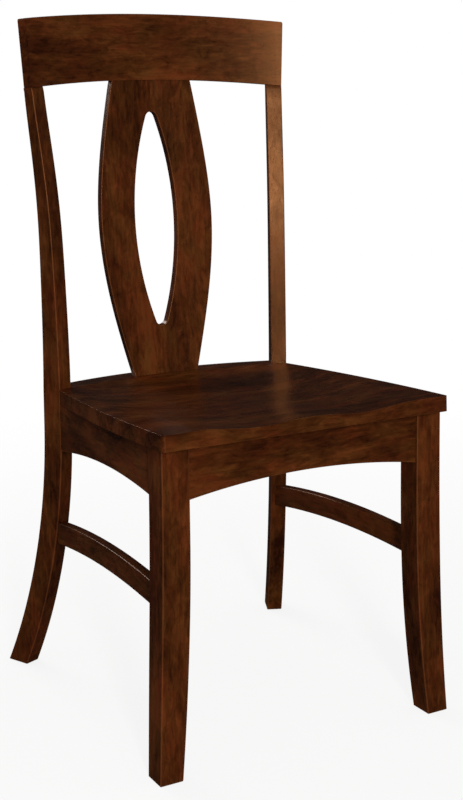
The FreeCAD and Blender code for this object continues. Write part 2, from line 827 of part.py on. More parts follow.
def crest_dowels():
    """Two dowels up from the right post into the crest rail."""
    middle_z = crest_bottom - crest_corner_drop
    lean = math.tan(math.radians(CREST_LEAN))
    axis = (Vector(0, 0, 1) + post_back * lean).normalize()
    fall = crest_corner_drop * math.tan(math.radians(POST_TOP_LEAN))
    setback = TOP_SETBACK - fall + POST_TOP_DEPTH / 2
    dowels = []
    for inward in (DOWEL_EDGE, POST_WIDTH - DOWEL_EDGE):
        centre = post_corner + post_back * setback - post_out * inward + Vector(0, 0, middle_z)
        dowels.append((centre - axis * DOWEL_REACH, axis))
    return dowels


def dowel(start, axis, play=0.0):
    radius = DOWEL_DIAMETER / 2 + play
    return Part.makeCylinder(radius, 2 * (DOWEL_REACH + play), start - axis * play, axis)


def build():
    """Every piece of the chair by node name, before the move to the shared origin."""
    leg = front_leg()
    post = main_solid(post_solid().cut(above_crest_underside()))
    stretcher = stretcher_solid()
    leg_mortises = [
        front_apron.mortise(front_apron_stops, TENON_SHOULDER),
        side_apron.mortise(side_stops, TENON_SHOULDER),
        stretcher_mortise(),
    ]
    post_mortises = [
        side_apron.mortise(side_stops, TENON_SHOULDER),
        rear_apron.mortise(rear_apron_stops, TENON_SHOULDER),
        stretcher_mortise(),
    ]
    apron_front = front_apron.made(front_apron_stops, TENON_SHOULDER)
    apron_side = side_apron.made(side_stops, TENON_SHOULDER)
    apron_rear = rear_apron.made(rear_apron_stops, TENON_SHOULDER)
    front_block, front_screws, front_seat_screw = corner_block_parts(
        front_apron_inner_y, Vector(0, -1, 0), FRONT_BLOCK_LEG, [leg]
    )
    rear_block, rear_screws, rear_seat_screw = corner_block_parts(
        rear_apron_inner_y, Vector(0, 1, 0), REAR_BLOCK_LEG, [post]
    )
    block_screws = [screw(*place) for place in front_screws + rear_screws]
    seat_screws = [screw(*place) for place in (front_seat_screw, rear_seat_screw)]
    holes = [screw(*place, play=CLEARANCE / 2) for place in front_screws + rear_screws]
    seat_holes = [
        screw(*place, play=CLEARANCE / 2) for place in (front_seat_screw, rear_seat_screw)
    ]
    dowels = [dowel(start, axis) for start, axis in crest_dowels()]
    dowel_holes = [dowel(start, axis, CLEARANCE / 2) for start, axis in crest_dowels()]

    pieces = {}
    leg = cut_all(leg, leg_mortises)
    post = cut_all(post, post_mortises + dowel_holes)
    apron_side = cut_all(apron_side, holes)
    front_block = cut_all(front_block, holes + seat_holes)
    rear_block = cut_all(rear_block, holes + seat_holes)
    half = splat_half()
    right_pieces = {
        "front_leg": leg,
        "rear_post": post,
        "side_apron": apron_side,
        "side_stretcher": stretcher,
        "corner_block_front": front_block,
        "corner_block_rear": rear_block,
        "splat": half,
    }
    for name, solid in right_pieces.items():
        pieces[name + "_right"] = solid
        pieces[name + "_left"] = mirrored(solid)
    pieces["front_apron"] = cut_all(apron_front, both_sides(holes))
    pieces["rear_apron"] = cut_all(apron_rear, both_sides(holes))
    tongue_holes = both_sides(splat_tenon(CLEARANCE))
    pieces["crest_rail"] = cut_all(crest_rail(), tongue_holes + both_sides(dowel_holes))
    seat = cut_all(seat_solid(), tongue_holes + both_sides(seat_holes))
    board_width = SEAT_BACK_Y / SEAT_BOARDS
    for number in range(SEAT_BOARDS):
        corner = Vector(-FAR / 2, board_width * number, -FAR / 2)
        strip = on_seat(Part.makeBox(FAR, board_width, FAR, corner))
        pieces["seat_board_" + str(number + 1)] = main_solid(seat.common(strip))
    pieces["corner_block_screws"] = Part.makeCompound(both_sides(block_screws))
    pieces["seat_screws"] = Part.makeCompound(both_sides(seat_screws))
    pieces["crest_dowels"] = Part.makeCompound(both_sides(dowels))
    return pieces


os.makedirs("parts", exist_ok=True)
for node, shape in build().items():
    shape.translate(centre_shift)
    shape.exportStep("parts/" + node + ".step")
    box = shape.BoundBox
    print(node, len(shape.Solids), "solid(s)", shape.isValid(), round(shape.Volume / 1000, 1), "cm3",
          [round(v, 1) for v in (box.XMin, box.XMax, box.YMin, box.YMax, box.ZMin, box.ZMax)])
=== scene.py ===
import logging
import math
from dataclasses import dataclass, field
from enum import Enum
from typing import Callable, Sequence

import bmesh
import bpy
import numpy as np
from mathutils import Matrix, Vector


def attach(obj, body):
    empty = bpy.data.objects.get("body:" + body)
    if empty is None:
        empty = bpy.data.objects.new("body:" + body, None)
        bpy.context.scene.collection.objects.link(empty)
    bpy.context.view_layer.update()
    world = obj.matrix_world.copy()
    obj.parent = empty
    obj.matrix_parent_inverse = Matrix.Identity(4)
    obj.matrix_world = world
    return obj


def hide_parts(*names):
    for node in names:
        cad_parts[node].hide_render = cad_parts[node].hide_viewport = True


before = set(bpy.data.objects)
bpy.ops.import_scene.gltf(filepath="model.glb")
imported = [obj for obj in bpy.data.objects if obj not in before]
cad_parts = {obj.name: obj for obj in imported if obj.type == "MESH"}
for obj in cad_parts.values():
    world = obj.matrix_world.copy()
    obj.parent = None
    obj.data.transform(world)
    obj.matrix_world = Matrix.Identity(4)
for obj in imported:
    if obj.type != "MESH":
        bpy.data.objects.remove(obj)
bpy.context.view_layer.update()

log = logging.getLogger("dining_chair")

MM = 0.001  # millimetres to metres
TOUCH = 1.0  # how near, in millimetres, a place counts as on an edge or in a joint

Point2 = tuple[float, float]
Point3 = tuple[float, float, float]
Limits = tuple[float, float]
Bend = Callable[[float, float, float], Vector]
Sockets = bpy.types.bpy_prop_collection


class Side(Enum):
    """The chair's two sides; the value is the sign of X."""

    LEFT = -1
    RIGHT = 1

    def of(self, piece: str) -> str:
        """The name that a piece has on this side."""
        return f"{piece}_{self.name.lower()}"


class Grain(Enum):
    """Which way a blank's grain runs in its flat drawing."""

    ALONG_U = 0
    ALONG_V = 1


class Coordinates(Enum):
    """Where a finish reads its place on the wood."""

    GRAIN = "grain"
    OBJECT = "object"


# Numbers and curves


def linear(colour: str) -> tuple[float, float, float, float]:
    """Turns an sRGB hex colour to linear.

    Args:
        colour: six hex digits after a hash sign.

    Returns:
        Linear red, green, blue and an alpha of 1.
    """
    channels = []
    for start in (1, 3, 5):
        value = int(colour[start:start + 2], 16) / 255
        channels.append(value / 12.92 if value <= 0.04045 else ((value + 0.055) / 1.055) ** 2.4)
    return (channels[0], channels[1], channels[2], 1.0)


def smooth_step(value: float) -> float:
    """Eases a share from 0 to 1, and holds it outside that range."""
    value = min(1.0, max(0.0, value))
    return value * value * (3 - 2 * value)


def steps(low: float, high: float, pitch: float) -> list[float]:
    """Evenly spaced values strictly between two limits, about a pitch apart."""
    count = max(1, round(abs(high - low) / pitch))
    return [low + (high - low) * index / count for index in range(1, count)]


def span(low: float, high: float, count: int) -> list[float]:
    """A count of intervals from low to high, both ends included."""
    return [low + (high - low) * index / count for index in range(count + 1)]


def arc_through(start: Point2, middle: Point2, end: Point2, count: int) -> list[Point2]:
    """Points on the circular arc through three points.

    Args:
        start: the first point.
        middle: a point on the arc.
        end: the last point.
        count: how many pieces the arc is divided into.

    Returns:
        count + 1 points, ends included.
    """
    (ax, ay), (bx, by), (cx, cy) = start, middle, end
    twice_area = 2 * (ax * (by - cy) + bx * (cy - ay) + cx * (ay - by))
    a, b, c = ax * ax + ay * ay, bx * bx + by * by, cx * cx + cy * cy
    ux = (a * (by - cy) + b * (cy - ay) + c * (ay - by)) / twice_area
    uy = (a * (cx - bx) + b * (ax - cx) + c * (bx - ax)) / twice_area
    radius = math.hypot(ax - ux, ay - uy)
    first, mid, last = (math.atan2(y - uy, x - ux) for x, y in (start, middle, end))
    turn = (last - first) % math.tau
    if (mid - first) % math.tau > turn:
        turn -= math.tau
    angles = span(first, first + turn, count)
    return [(ux + radius * math.cos(t), uy + radius * math.sin(t)) for t in angles]


def rounded(before: Point2, corner: Point2, after: Point2, radius: float, count: int) -> list[Point2]:
    """A corner between two straight runs, replaced by an arc.

    Args:
        before: a point on the run into the corner.
        corner: the sharp corner.
        after: a point on the run out of it.
        radius: the arc's radius.
        count: how many pieces the arc is divided into.

    Returns:
        The arc's points, in order.
    """
    at = Vector(corner)
    run_in = (Vector(before) - at).normalized()
    run_out = (Vector(after) - at).normalized()
    half = math.acos(max(-1.0, min(1.0, run_in.dot(run_out)))) / 2
    reach = radius / math.tan(half)
    centre = at + (run_in + run_out).normalized() * (radius / math.sin(half))
    start, end = at + run_in * reach, at + run_out * reach
    middle = centre + (at - centre).normalized() * radius
    return arc_through(tuple(start), tuple(middle), tuple(end), count)


@dataclass(frozen=True)
class Curve:
    """A cubic spline through stations of position and value, with its end slopes free or given."""

    stations: tuple[Point2, ...]
    start_slope: float | None = None
    end_slope: float | None = None

    def bends(self) -> np.ndarray:
        """Solves for the spline's second derivatives.

        Returns:
            One value for each station.
        """
        x = np.array([place for place, _ in self.stations])
        y = np.array([value for _, value in self.stations])
        gap, rise = np.diff(x), np.diff(y) / np.diff(x)
        size = len(x)
        matrix, right = np.eye(size), np.zeros(size)
        for row in range(1, size - 1):
            matrix[row, row - 1:row + 2] = gap[row - 1], 2 * (gap[row - 1] + gap[row]), gap[row]
            right[row] = 6 * (rise[row] - rise[row - 1])
        if self.start_slope is not None:
            matrix[0, :2] = 2 * gap[0], gap[0]
            right[0] = 6 * (rise[0] - self.start_slope)
        if self.end_slope is not None:
            matrix[-1, -2:] = gap[-1], 2 * gap[-1]
            right[-1] = 6 * (self.end_slope - rise[-1])
        return np.linalg.solve(matrix, right)

    def sampled(self, count: int) -> list[Point2]:
        """Reads the whole spline at even steps.

        Args:
            count: how many steps.

        Returns:
            count + 1 places, each with its value.
        """
        bends = self.bends()
        places = span(self.stations[0][0], self.stations[-1][0], count)
        return [(place, self.value(place, bends)) for place in places]

    def value(self, place: float, bends: np.ndarray) -> float:
        """Reads the spline at one place.

        Args:
            place: where, from the first station to the last.
            bends: what bends() returns.

        Returns:
            The value there.
        """
        index = 0
        while index < len(self.stations) - 2 and place > self.stations[index + 1][0]:
            index += 1
        (x0, y0), (x1, y1) = self.stations[index], self.stations[index + 1]
        gap = x1 - x0
        a, b = (x1 - place) / gap, (place - x0) / gap
        curve = ((a ** 3 - a) * bends[index] + (b ** 3 - b) * bends[index + 1]) * gap * gap / 6
        return a * y0 + b * y1 + float(curve)


# Shared sizes, in millimetres. The drawing has Y = 0 at the seat's front edge.


@dataclass(frozen=True)
class ChairFrame:
    """The planes, sizes and angles that several pieces share."""

    seat_height: float = 470.0
    seat_slope: float = math.radians(2.1)
    seat_thick: float = 22.0
    post_x: float = 199.8
    post_y: float = 398.0
    post_turn: float = math.radians(24.0)
    post_width: float = 25.2
    post_foot_depth: float = 39.6
    post_seat_depth: float = 34.6
    foot_setback: float = 90.0
    crest_bottom: float = 917.0
    crest_crown_radius: float = 2100.0
    leg_outer_x: float = 220.0
    leg_front_y: float = 12.5
    leg_size: float = 40.0

    @property
    def shift(self) -> float:
        """How far the drawing moves along Y, so that the origin is under the middle of the chair.

        Returns:
            The move, in millimetres.
        """
        front = -self.seat_thick * math.sin(self.seat_slope)
        depth = (self.foot_setback + self.post_foot_depth) * math.cos(self.post_turn)
        rear = self.post_y + depth + self.post_width * math.sin(self.post_turn)
        return -(front + rear) / 2

    def place(self, x: float, y: float, z: float) -> Vector:
        """A point of the drawing, in metres in the shared frame."""
        return Vector((x, y + self.shift, z)) * MM

    def seat_underside(self, y: float) -> float:
        """The height of the seat's lower face."""
        return self.seat_height - y * math.tan(self.seat_slope) - self.seat_thick / math.cos(self.seat_slope)

    def crest_edge(self, x: float, middle: float) -> float:
        """The height of a crowned edge of the crest rail."""
        return middle - self.crest_crown_radius + math.sqrt(self.crest_crown_radius ** 2 - x * x)

    def on_post(self, inward: float, setback: float) -> Point2:
        """The plan place of a point of the right post, from its outer front corner."""
        cos, sin = math.cos(self.post_turn), math.sin(self.post_turn)
        return (self.post_x - inward * cos + setback * sin, self.post_y + inward * sin + setback * cos)


CHAIR = ChairFrame()


# Mesh making


@dataclass
class Blank:
    """A flat board with eased edges, which is sliced and then bent to its place.

    The drawing's u and v are its flat outline, and w goes from its face into its thickness.
    """

    name: str
    outline: Sequence[Point2]
    thickness: float
    bend: Bend
    ease: float = 2.5
    slices_u: Sequence[float] = ()
    slices_v: Sequence[float] = ()
    square: Callable[[Vector], bool] = lambda middle: False
    crease: Sequence[Point2] = ()
    grain: Grain = Grain.ALONG_U
    seed: int = 0

    # An edge that turns by more than CORNER is eased, with EASE_FACES faces. A slice that passes
    # closer than SNAP to a point goes through it. A face is the upper one if its normal rises above
    # UPWARDS. GRAIN_STEP is how far apart two seeds lie in the wood, in metres.
    CORNER = math.radians(35)
    EASE_FACES = 4
    SNAP = 1e-4
    UPWARDS = 0.9
    GRAIN_STEP = Vector((0.731, 0.389, 0.177))

    def build(self) -> bpy.types.Object:
        """Cuts out the board, eases it, slices it and bends it.

        Returns:
            The finished piece, linked to the scene.
        """
        work = bmesh.new()
        corners = [work.verts.new((u, v, 0.0)) for u, v in self.outline]
        face = work.faces.new(corners)
        face.normal_update()
        if face.normal.z < 0:
            face.normal_flip()
        back = bmesh.ops.extrude_face_region(work, geom=[face])
        moved = [part for part in back["geom"] if isinstance(part, bmesh.types.BMVert)]
        bmesh.ops.translate(work, verts=moved, vec=(0.0, 0.0, -self.thickness))
        bmesh.ops.recalc_face_normals(work, faces=work.faces[:])
        self._ease(work)
        if self.crease:
            self._crease(work)
        for axis, places in ((Vector((1, 0, 0)), self.slices_u), (Vector((0, 1, 0)), self.slices_v)):
            for place in places:
                whole = work.verts[:] + work.edges[:] + work.faces[:]
                bmesh.ops.bisect_plane(work, geom=whole, dist=self.SNAP, plane_co=axis * place, plane_no=axis)
        self._place(work)
        return finished(self.name, work)

    def _ease(self, work: bmesh.types.BMesh) -> None:
        """Rounds every edge sharper than a corner, apart from the square ones, and marks the roundings.

        Args:
            work: the board's mesh.
        """
        if self.ease <= 0:
            return
        # Each rounding is marked so that the finish can paint a paler highlight on it
        layer = work.faces.layers.float.new("rubbed")
        edges = []
        for edge in work.edges:
            middle = (edge.verts[0].co + edge.verts[1].co) / 2
            sharp = len(edge.link_faces) == 2 and edge.calc_face_angle() > self.CORNER
            if sharp and not self.square(middle):
                edges.append(edge)
        eased = bmesh.ops.bevel(
            work,
            geom=edges,
            offset=self.ease,
            offset_type="OFFSET",
            segments=self.EASE_FACES,
            profile=0.5,
            affect="EDGES",
            clamp_overlap=True,
        )
        for face in eased["faces"]:
            face[layer] = 1.0

    def _crease(self, work: bmesh.types.BMesh) -> None:
        """Splits the upper face along a line that stays crisp.

        Args:
            work: the board's mesh.
        """
        uppers = (face for face in work.faces if face.normal.z > self.UPWARDS)
        top = max(uppers, key=lambda face: face.calc_area())
        ends = []
        for end in (self.crease[0], self.crease[-1]):
            place = Vector((end[0], end[1], 0.0))
            ends.append(min(top.verts, key=lambda vert: (vert.co - place).length))
        inner = [(u, v, 0.0) for u, v in self.crease[1:-1]]
        bmesh.utils.face_split(top, ends[0], ends[1], coords=inner)

    def _place(self, work: bmesh.types.BMesh) -> None:
        """Notes where each point lies in the wood, then bends the board.

        Args:
            work: the board's mesh.
        """
        layer = work.verts.layers.float_vector.new("grain")
        apart = self.GRAIN_STEP * self.seed
        for vert in work.verts:
            u, v, depth = vert.co
            along, across = (u, v) if self.grain is Grain.ALONG_U else (v, u)
            vert[layer] = Vector((along, across, depth)) * MM + apart
        for vert in work.verts:
            vert.co = self.bend(vert.co.x, vert.co.y, -vert.co.z)


def in_scene(name: str, data: bpy.types.ID) -> bpy.types.Object:
    """Makes an object of a mesh, a lamp or a camera and links it to the scene.

    Args:
        name: the object's name.
        data: what it holds.

    Returns:
        The object.
    """
    made = bpy.data.objects.new(name, data)
    bpy.context.scene.collection.objects.link(made)
    return made


def finished(name: str, work: bmesh.types.BMesh, smooth_angle: float = math.radians(32)) -> bpy.types.Object:
    """Turns a work mesh into an object with clean shading.

    Args:
        name: the object's name.
        work: the mesh in metres, freed here.
        smooth_angle: edges sharper than this stay crisp.

    Returns:
        The object, linked to the scene, with no modifiers.
    """
    bmesh.ops.recalc_face_normals(work, faces=work.faces[:])
    mesh = bpy.data.meshes.new(name)
    work.to_mesh(mesh)
    work.free()
    mesh.shade_smooth()
    mesh.set_sharp_from_angle(angle=smooth_angle)
    made = in_scene(name, mesh)
    weighted = made.modifiers.new("weighted", "WEIGHTED_NORMAL")
    weighted.keep_sharp = True
    weighted.weight = 100
    return applied(made)


def applied(made: bpy.types.Object) -> bpy.types.Object:
    """Replaces an object's mesh by its evaluated one, and removes its modifiers.

    Args:
        made: the object, linked to the scene.

    Returns:
        The same object.
    """
    bpy.context.view_layer.update()
    graph = bpy.context.evaluated_depsgraph_get()
    mesh = bpy.data.meshes.new_from_object(made.evaluated_get(graph), depsgraph=graph)
    mesh.name = made.name
    old = made.data
    made.modifiers.clear()
    made.data = mesh
    if old.users == 0:
        bpy.data.meshes.remove(old)
    return made


def mirrored(bend: Bend, side: Side) -> Bend:
    """Puts a bend that is drawn for the right side on the given one.

    Args:
        bend: the bend, for the right side.
        side: the side where it's wanted.

    Returns:
        The bend for that side.
    """
    def turned(u: float, v: float, w: float) -> Vector:
        """The bend with its X signed."""
        place = bend(u, v, w)
        return Vector((place.x * side.value, place.y, place.z))
    return turned


def ride(piece: bpy.types.Object, slot: str, *nodes: str) -> None:
    """Attaches a finished piece to the root body, hides the nodes that it stands for and logs them.

    Args:
        piece: the piece, which rides on the root body.
        slot: not used.
        nodes: the nodes that it stands for.
    """
    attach(piece, "root")
    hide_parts(*nodes)
    log.info("%s stands for %s", piece.name, ", ".join(nodes))


# Node trees


def add_node(
    tree: bpy.types.NodeTree,
    kind: str,
    inputs: dict[int | str, object] | None = None,
    **settings: object,
) -> bpy.types.Node:
    """Adds a node, sets it up and connects it.

    Args:
        tree: the node tree.
        kind: the node's type name.
        inputs: socket name or number to a value, or to an output socket to link from.
        settings: attributes of the node.

    Returns:
        The node.
    """
    node = tree.nodes.new(kind)
    for key, value in settings.items():
        setattr(node, key, value)
    for key, value in (inputs or {}).items():
        if isinstance(value, bpy.types.NodeSocket):
            tree.links.new(value, node.inputs[key])
        else:
            node.inputs[key].default_value = value
    return node


def empty_tree(owner: bpy.types.Material | bpy.types.World) -> bpy.types.NodeTree:
    """Switches a material or a world to nodes.

    Args:
        owner: the material or world.

    Returns:
        Its tree, with no nodes in it.
    """
    owner.use_nodes = True
    owner.node_tree.nodes.clear()
    return owner.node_tree


def ramp(node: bpy.types.Node, stops: Sequence[tuple[float, str]]) -> None:
    """Sets a colour ramp's stops.

    Args:
        node: the ramp.
        stops: places from 0 to 1 with hex colours, two or more, in order.
    """
    elements = node.color_ramp.elements
    while len(elements) < len(stops):
        elements.new(0.5)
    for element, (place, colour) in zip(elements, stops):
        element.position = place
        element.color = linear(colour)


def growth_tree(name: str, inputs: dict[str, str]) -> tuple[bpy.types.NodeTree, Sockets]:
    """Starts a Geometry Nodes tree.

    Args:
        name: the tree's name.
        inputs: each input's name, with what it holds, as in Float, Vector or Material.

    Returns:
        The tree, and the sockets that hand out its inputs.
    """
    tree = bpy.data.node_groups.new(name, "GeometryNodeTree")
    for key, holds in inputs.items():
        tree.interface.new_socket(key, in_out="INPUT", socket_type=f"NodeSocket{holds}")
    tree.interface.new_socket("Geometry", in_out="OUTPUT", socket_type="NodeSocketGeometry")
    return tree, add_node(tree, "NodeGroupInput").outputs


def close_tree(tree: bpy.types.NodeTree, shape: bpy.types.NodeSocket, finish: bpy.types.NodeSocket) -> None:
    """Ends a Geometry Nodes tree with a real, dressed mesh.

    Args:
        tree: the tree.
        shape: the socket with the geometry.
        finish: the socket with the material.
    """
    real = add_node(tree, "GeometryNodeRealizeInstances", {"Geometry": shape})
    dressed = add_node(tree, "GeometryNodeSetMaterial", {
        "Geometry": real.outputs["Geometry"], "Material": finish,
    })
    add_node(tree, "NodeGroupOutput", {"Geometry": dressed.outputs["Geometry"]})


def grown(piece: bpy.types.Object, tree: bpy.types.NodeTree, sizes: dict[str, object]) -> bpy.types.Object:
    """Runs a Geometry Nodes tree on a piece and keeps the result as its plain mesh.

    Args:
        piece: the object whose mesh the tree reads and replaces.
        tree: the tree.
        sizes: input name to value.

    Returns:
        The piece, with no modifier left.
    """
    modifier = piece.modifiers.new("grown", "NODES")
    modifier.node_group = tree
    for item in tree.interface.items_tree:
        if item.item_type == "SOCKET" and item.in_out == "INPUT" and item.name in sizes:
            modifier[item.identifier] = sizes[item.name]
    return applied(piece)


# Finishes


@dataclass(frozen=True)
class Marks:
    """One kind of mark in the wood.

    Its length, along the grain, and its width are in millimetres. Detail is how many finer layers
    it has, and wander is how far it strays from straight.
    """

    length: float
    width: float
    detail: float
    wander: float
    roughness: float = 0.6

    def noise(self, tree: bpy.types.NodeTree, place: bpy.types.NodeSocket) -> bpy.types.NodeSocket:
        """Draws the marks as stretched noise.

        Args:
            tree: the material's tree.
            place: where on the wood, in metres.

        Returns:
            The noise's value.
        """
        scale = (1 / (self.length * MM), 1 / (self.width * MM), 1 / (self.width * MM))
        mapped = add_node(tree, "ShaderNodeMapping", {"Vector": place, "Scale": scale})
        noise = add_node(tree, "ShaderNodeTexNoise", {
            "Vector": mapped.outputs["Vector"], "Scale": 1.0, "Detail": self.detail,
            "Roughness": self.roughness, "Distortion": self.wander,
        })
        return noise.outputs["Fac"]


@dataclass(frozen=True)
class StainedMaple:
    """Brown maple, wiped with a dark walnut stain and sprayed with satin lacquer.

    Maple takes stain unevenly, so it shows soft dark streaks and blotches along the grain, and its
    brown swings slowly between red and amber. Fine dark pores lie under a smooth film that gives a
    broad, dull shine. The eased edges are painted a little paler, a painted highlight for the glint
    that rounded edges catch. Real pores are a tenth of a millimetre wide, too fine to show, so they
    are drawn coarser.
    """

    name: str = "stained_maple"
    dark: str = "#2b1006"
    red: tuple[str, str] = ("#4c200c", "#682e13")
    amber: tuple[str, str] = ("#49260d", "#653817")
    tone_stops: Point3 = (0.34, 0.5, 0.66)
    streaks: Marks = Marks(34.0, 5.5, 4.0, 0.6)
    blotches: Marks = Marks(24.0, 13.0, 3.0, 0.9)
    regions: Marks = Marks(210.0, 60.0, 2.0, 0.4)
    swings: Marks = Marks(70.0, 30.0, 2.0, 0.6)
    # Noise lies mostly within these limits. The swing is read a little way off, so that it doesn't
    # follow the regions.
    common: Limits = (0.3, 0.7)
    swing_limits: Limits = (0.32, 0.68)
    swing_offset: Point3 = (0.4, 0.3, 0.2)
    # How much of the tone comes from the blotches, and then from the regions
    blotch_share: float = 0.45
    region_share: float = 0.25
    # The paler colour painted onto eased edges as a painted highlight, and how much of it is mixed in
    rubbed: str = "#8e5230"
    painted_edge_highlight_share: float = 0.24
    pore: str = "#1d0b04"
    pores: Marks = Marks(9.0, 0.9, 2.0, 0.0)
    pore_limits: Limits = (0.62, 0.76)
    pore_share: float = 0.55
    pore_bump: float = 0.35
    pore_depth: float = 0.3
    roughness: float = 0.32
    smoother: float = 0.05
    rougher: float = 0.06
    specular: float = 0.5
    tint: str = "#ffae70"
    index: float = 1.5
    coordinates: Coordinates = Coordinates.GRAIN

    def colour(self, tree: bpy.types.NodeTree, place: bpy.types.NodeSocket,
               blotches: bpy.types.NodeSocket) -> bpy.types.NodeSocket:
        """Mixes the stain's brown, without edges and pores.

        Args:
            tree: the material's tree.
            place: where on the wood, in metres.
            blotches: the blotches' noise.

        Returns:
            The colour.
        """
        streaks = self.streaks.noise(tree, place)
        broad = add_node(tree, "ShaderNodeMapRange", {
            "Value": self.regions.noise(tree, place), "From Min": self.common[0], "From Max": self.common[1],
            "To Min": 0.0, "To Max": 1.0,
        })
        fine = add_node(tree, "ShaderNodeMix", {
            "Factor": self.blotch_share, "A": streaks, "B": blotches,
        }, data_type="FLOAT")
        tone = add_node(tree, "ShaderNodeMix", {
            "Factor": self.region_share, "A": fine.outputs["Result"], "B": broad.outputs["Result"],
        }, data_type="FLOAT")
        swatches = []
        for middle, light in (self.red, self.amber):
            swatch = add_node(tree, "ShaderNodeValToRGB", {"Fac": tone.outputs["Result"]})
            ramp(swatch, tuple(zip(self.tone_stops, (self.dark, middle, light))))
            swatches.append(swatch.outputs["Color"])
        elsewhere = add_node(tree, "ShaderNodeVectorMath", {0: place, 1: self.swing_offset}, operation="ADD")
        swing = add_node(tree, "ShaderNodeMapRange", {
            "Value": self.swings.noise(tree, elsewhere.outputs["Vector"]), "From Min": self.swing_limits[0],
            "From Max": self.swing_limits[1], "To Min": 0.0, "To Max": 1.0,
        })
        mixed = add_node(tree, "ShaderNodeMix", {
            "Factor": swing.outputs["Result"], "A": swatches[0], "B": swatches[1],
        }, data_type="RGBA")
        return mixed.outputs["Result"]

    def material(self) -> bpy.types.Material:
        """Builds the finish.

        Returns:
            The material, which reads a piece's "grain" attribute and the one that marks eased edges for the
            painted highlight.
        """
        made = bpy.data.materials.new(self.name)
        tree = empty_tree(made)
        if self.coordinates is Coordinates.GRAIN:
            place = add_node(tree, "ShaderNodeAttribute", attribute_name="grain").outputs["Vector"]
        else:
            place = add_node(tree, "ShaderNodeTexCoord").outputs["Object"]
        blotches = self.blotches.noise(tree, place)
        # Eased edges get the paler colour mixed in: a painted highlight, not wear of the stain
        edge = add_node(tree, "ShaderNodeAttribute", attribute_name="rubbed")
        painted_highlight_mix = add_node(tree, "ShaderNodeMath", {0: edge.outputs["Fac"], 1: self.painted_edge_highlight_share}, operation="MULTIPLY")
        stained = add_node(tree, "ShaderNodeMix", {
            "Factor": painted_highlight_mix.outputs["Value"], "A": self.colour(tree, place, blotches),
            "B": linear(self.rubbed),
        }, data_type="RGBA")
        open_pore = add_node(tree, "ShaderNodeMapRange", {
            "Value": self.pores.noise(tree, place), "From Min": self.pore_limits[0],
            "From Max": self.pore_limits[1], "To Min": 0.0, "To Max": self.pore_share,
        })
        shade = add_node(tree, "ShaderNodeMix", {
            "Factor": open_pore.outputs["Result"], "A": stained.outputs["Result"], "B": linear(self.pore),
        }, data_type="RGBA")
        dull = add_node(tree, "ShaderNodeMapRange", {
            "Value": blotches, "From Min": self.common[0], "From Max": self.common[1],
            "To Min": self.roughness - self.smoother, "To Max": self.roughness + self.rougher,
        })
        bump = add_node(tree, "ShaderNodeBump", {
            "Height": open_pore.outputs["Result"], "Strength": self.pore_bump,
            "Distance": self.pore_depth * MM,
        }, invert=True)
        shader = add_node(tree, "ShaderNodeBsdfPrincipled", {
            "Base Color": shade.outputs["Result"], "Roughness": dull.outputs["Result"],
            "Normal": bump.outputs["Normal"], "IOR": self.index, "Specular IOR Level": self.specular,
            "Specular Tint": linear(self.tint),
        })
        add_node(tree, "ShaderNodeOutputMaterial", {"Surface": shader.outputs["BSDF"]})
        return made


@dataclass(frozen=True)
class BareDowel:
    """Bare birch dowel, turned and left dry, seen only inside its hole.

    It is pale and dull, with straight lines that run along it.
    """

    name: str = "bare_birch"
    dark: str = "#b3905f"
    light: str = "#d2b384"
    stops: Limits = (0.35, 0.65)
    line_width: float = 1.5
    lines_per_metre: float = 30.0
    detail: float = 3.0
    roughness: float = 0.75
    bump: float = 0.2
    bump_depth: float = 0.2

    def material(self) -> bpy.types.Material:
        """Builds the finish.

        Returns:
            The material.
        """
        made = bpy.data.materials.new(self.name)
        tree = empty_tree(made)
        place = add_node(tree, "ShaderNodeTexCoord").outputs["Object"]
        across = 1 / (self.line_width * MM)
        mapped = add_node(tree, "ShaderNodeMapping", {
            "Vector": place, "Scale": (across, across, self.lines_per_metre),
        })
        lines = add_node(tree, "ShaderNodeTexNoise", {
            "Vector": mapped.outputs["Vector"], "Scale": 1.0, "Detail": self.detail,
        })
        colour = add_node(tree, "ShaderNodeValToRGB", {"Fac": lines.outputs["Fac"]})
        ramp(colour, tuple(zip(self.stops, (self.dark, self.light))))
        bump = add_node(tree, "ShaderNodeBump", {
            "Height": lines.outputs["Fac"], "Strength": self.bump, "Distance": self.bump_depth * MM,
        })
        shader = add_node(tree, "ShaderNodeBsdfPrincipled", {
            "Base Color": colour.outputs["Color"], "Roughness": self.roughness,
            "Normal": bump.outputs["Normal"],
        })
        add_node(tree, "ShaderNodeOutputMaterial", {"Surface": shader.outputs["BSDF"]})
        return made


@dataclass(frozen=True)
class ZincScrew:
    """Zinc-plated steel: a bright, slightly yellow metal with fine turning marks.

    The marks are drawn coarser than real ones, which are too fine to show.
    """

    name: str = "zinc_plated_steel"
    worn: str = "#8f8a7c"
    colour: str = "#b9b29c"
    stops: Limits = (0.4, 0.6)
    mark_width: float = 0.8
    detail: float = 4.0
    roughness: Limits = (0.25, 0.5)

    def material(self) -> bpy.types.Material:
        """Builds the finish.

        Returns:
            The material.
        """
        made = bpy.data.materials.new(self.name)
        tree = empty_tree(made)
        place = add_node(tree, "ShaderNodeTexCoord").outputs["Object"]
        mapped = add_node(tree, "ShaderNodeMapping", {
            "Vector": place, "Scale": (1 / (self.mark_width * MM),) * 3,
        })
        marks = add_node(tree, "ShaderNodeTexNoise", {
            "Vector": mapped.outputs["Vector"], "Scale": 1.0, "Detail": self.detail,
        })
        colour = add_node(tree, "ShaderNodeValToRGB", {"Fac": marks.outputs["Fac"]})
        ramp(colour, tuple(zip(self.stops, (self.worn, self.colour))))
        dull = add_node(tree, "ShaderNodeMapRange", {
            "Value": marks.outputs["Fac"], "To Min": self.roughness[0], "To Max": self.roughness[1],
        })
        shader = add_node(tree, "ShaderNodeBsdfPrincipled", {
            "Base Color": colour.outputs["Color"], "Roughness": dull.outputs["Result"], "Metallic": 1.0,
        })
        add_node(tree, "ShaderNodeOutputMaterial", {"Surface": shader.outputs["BSDF"]})
        return made


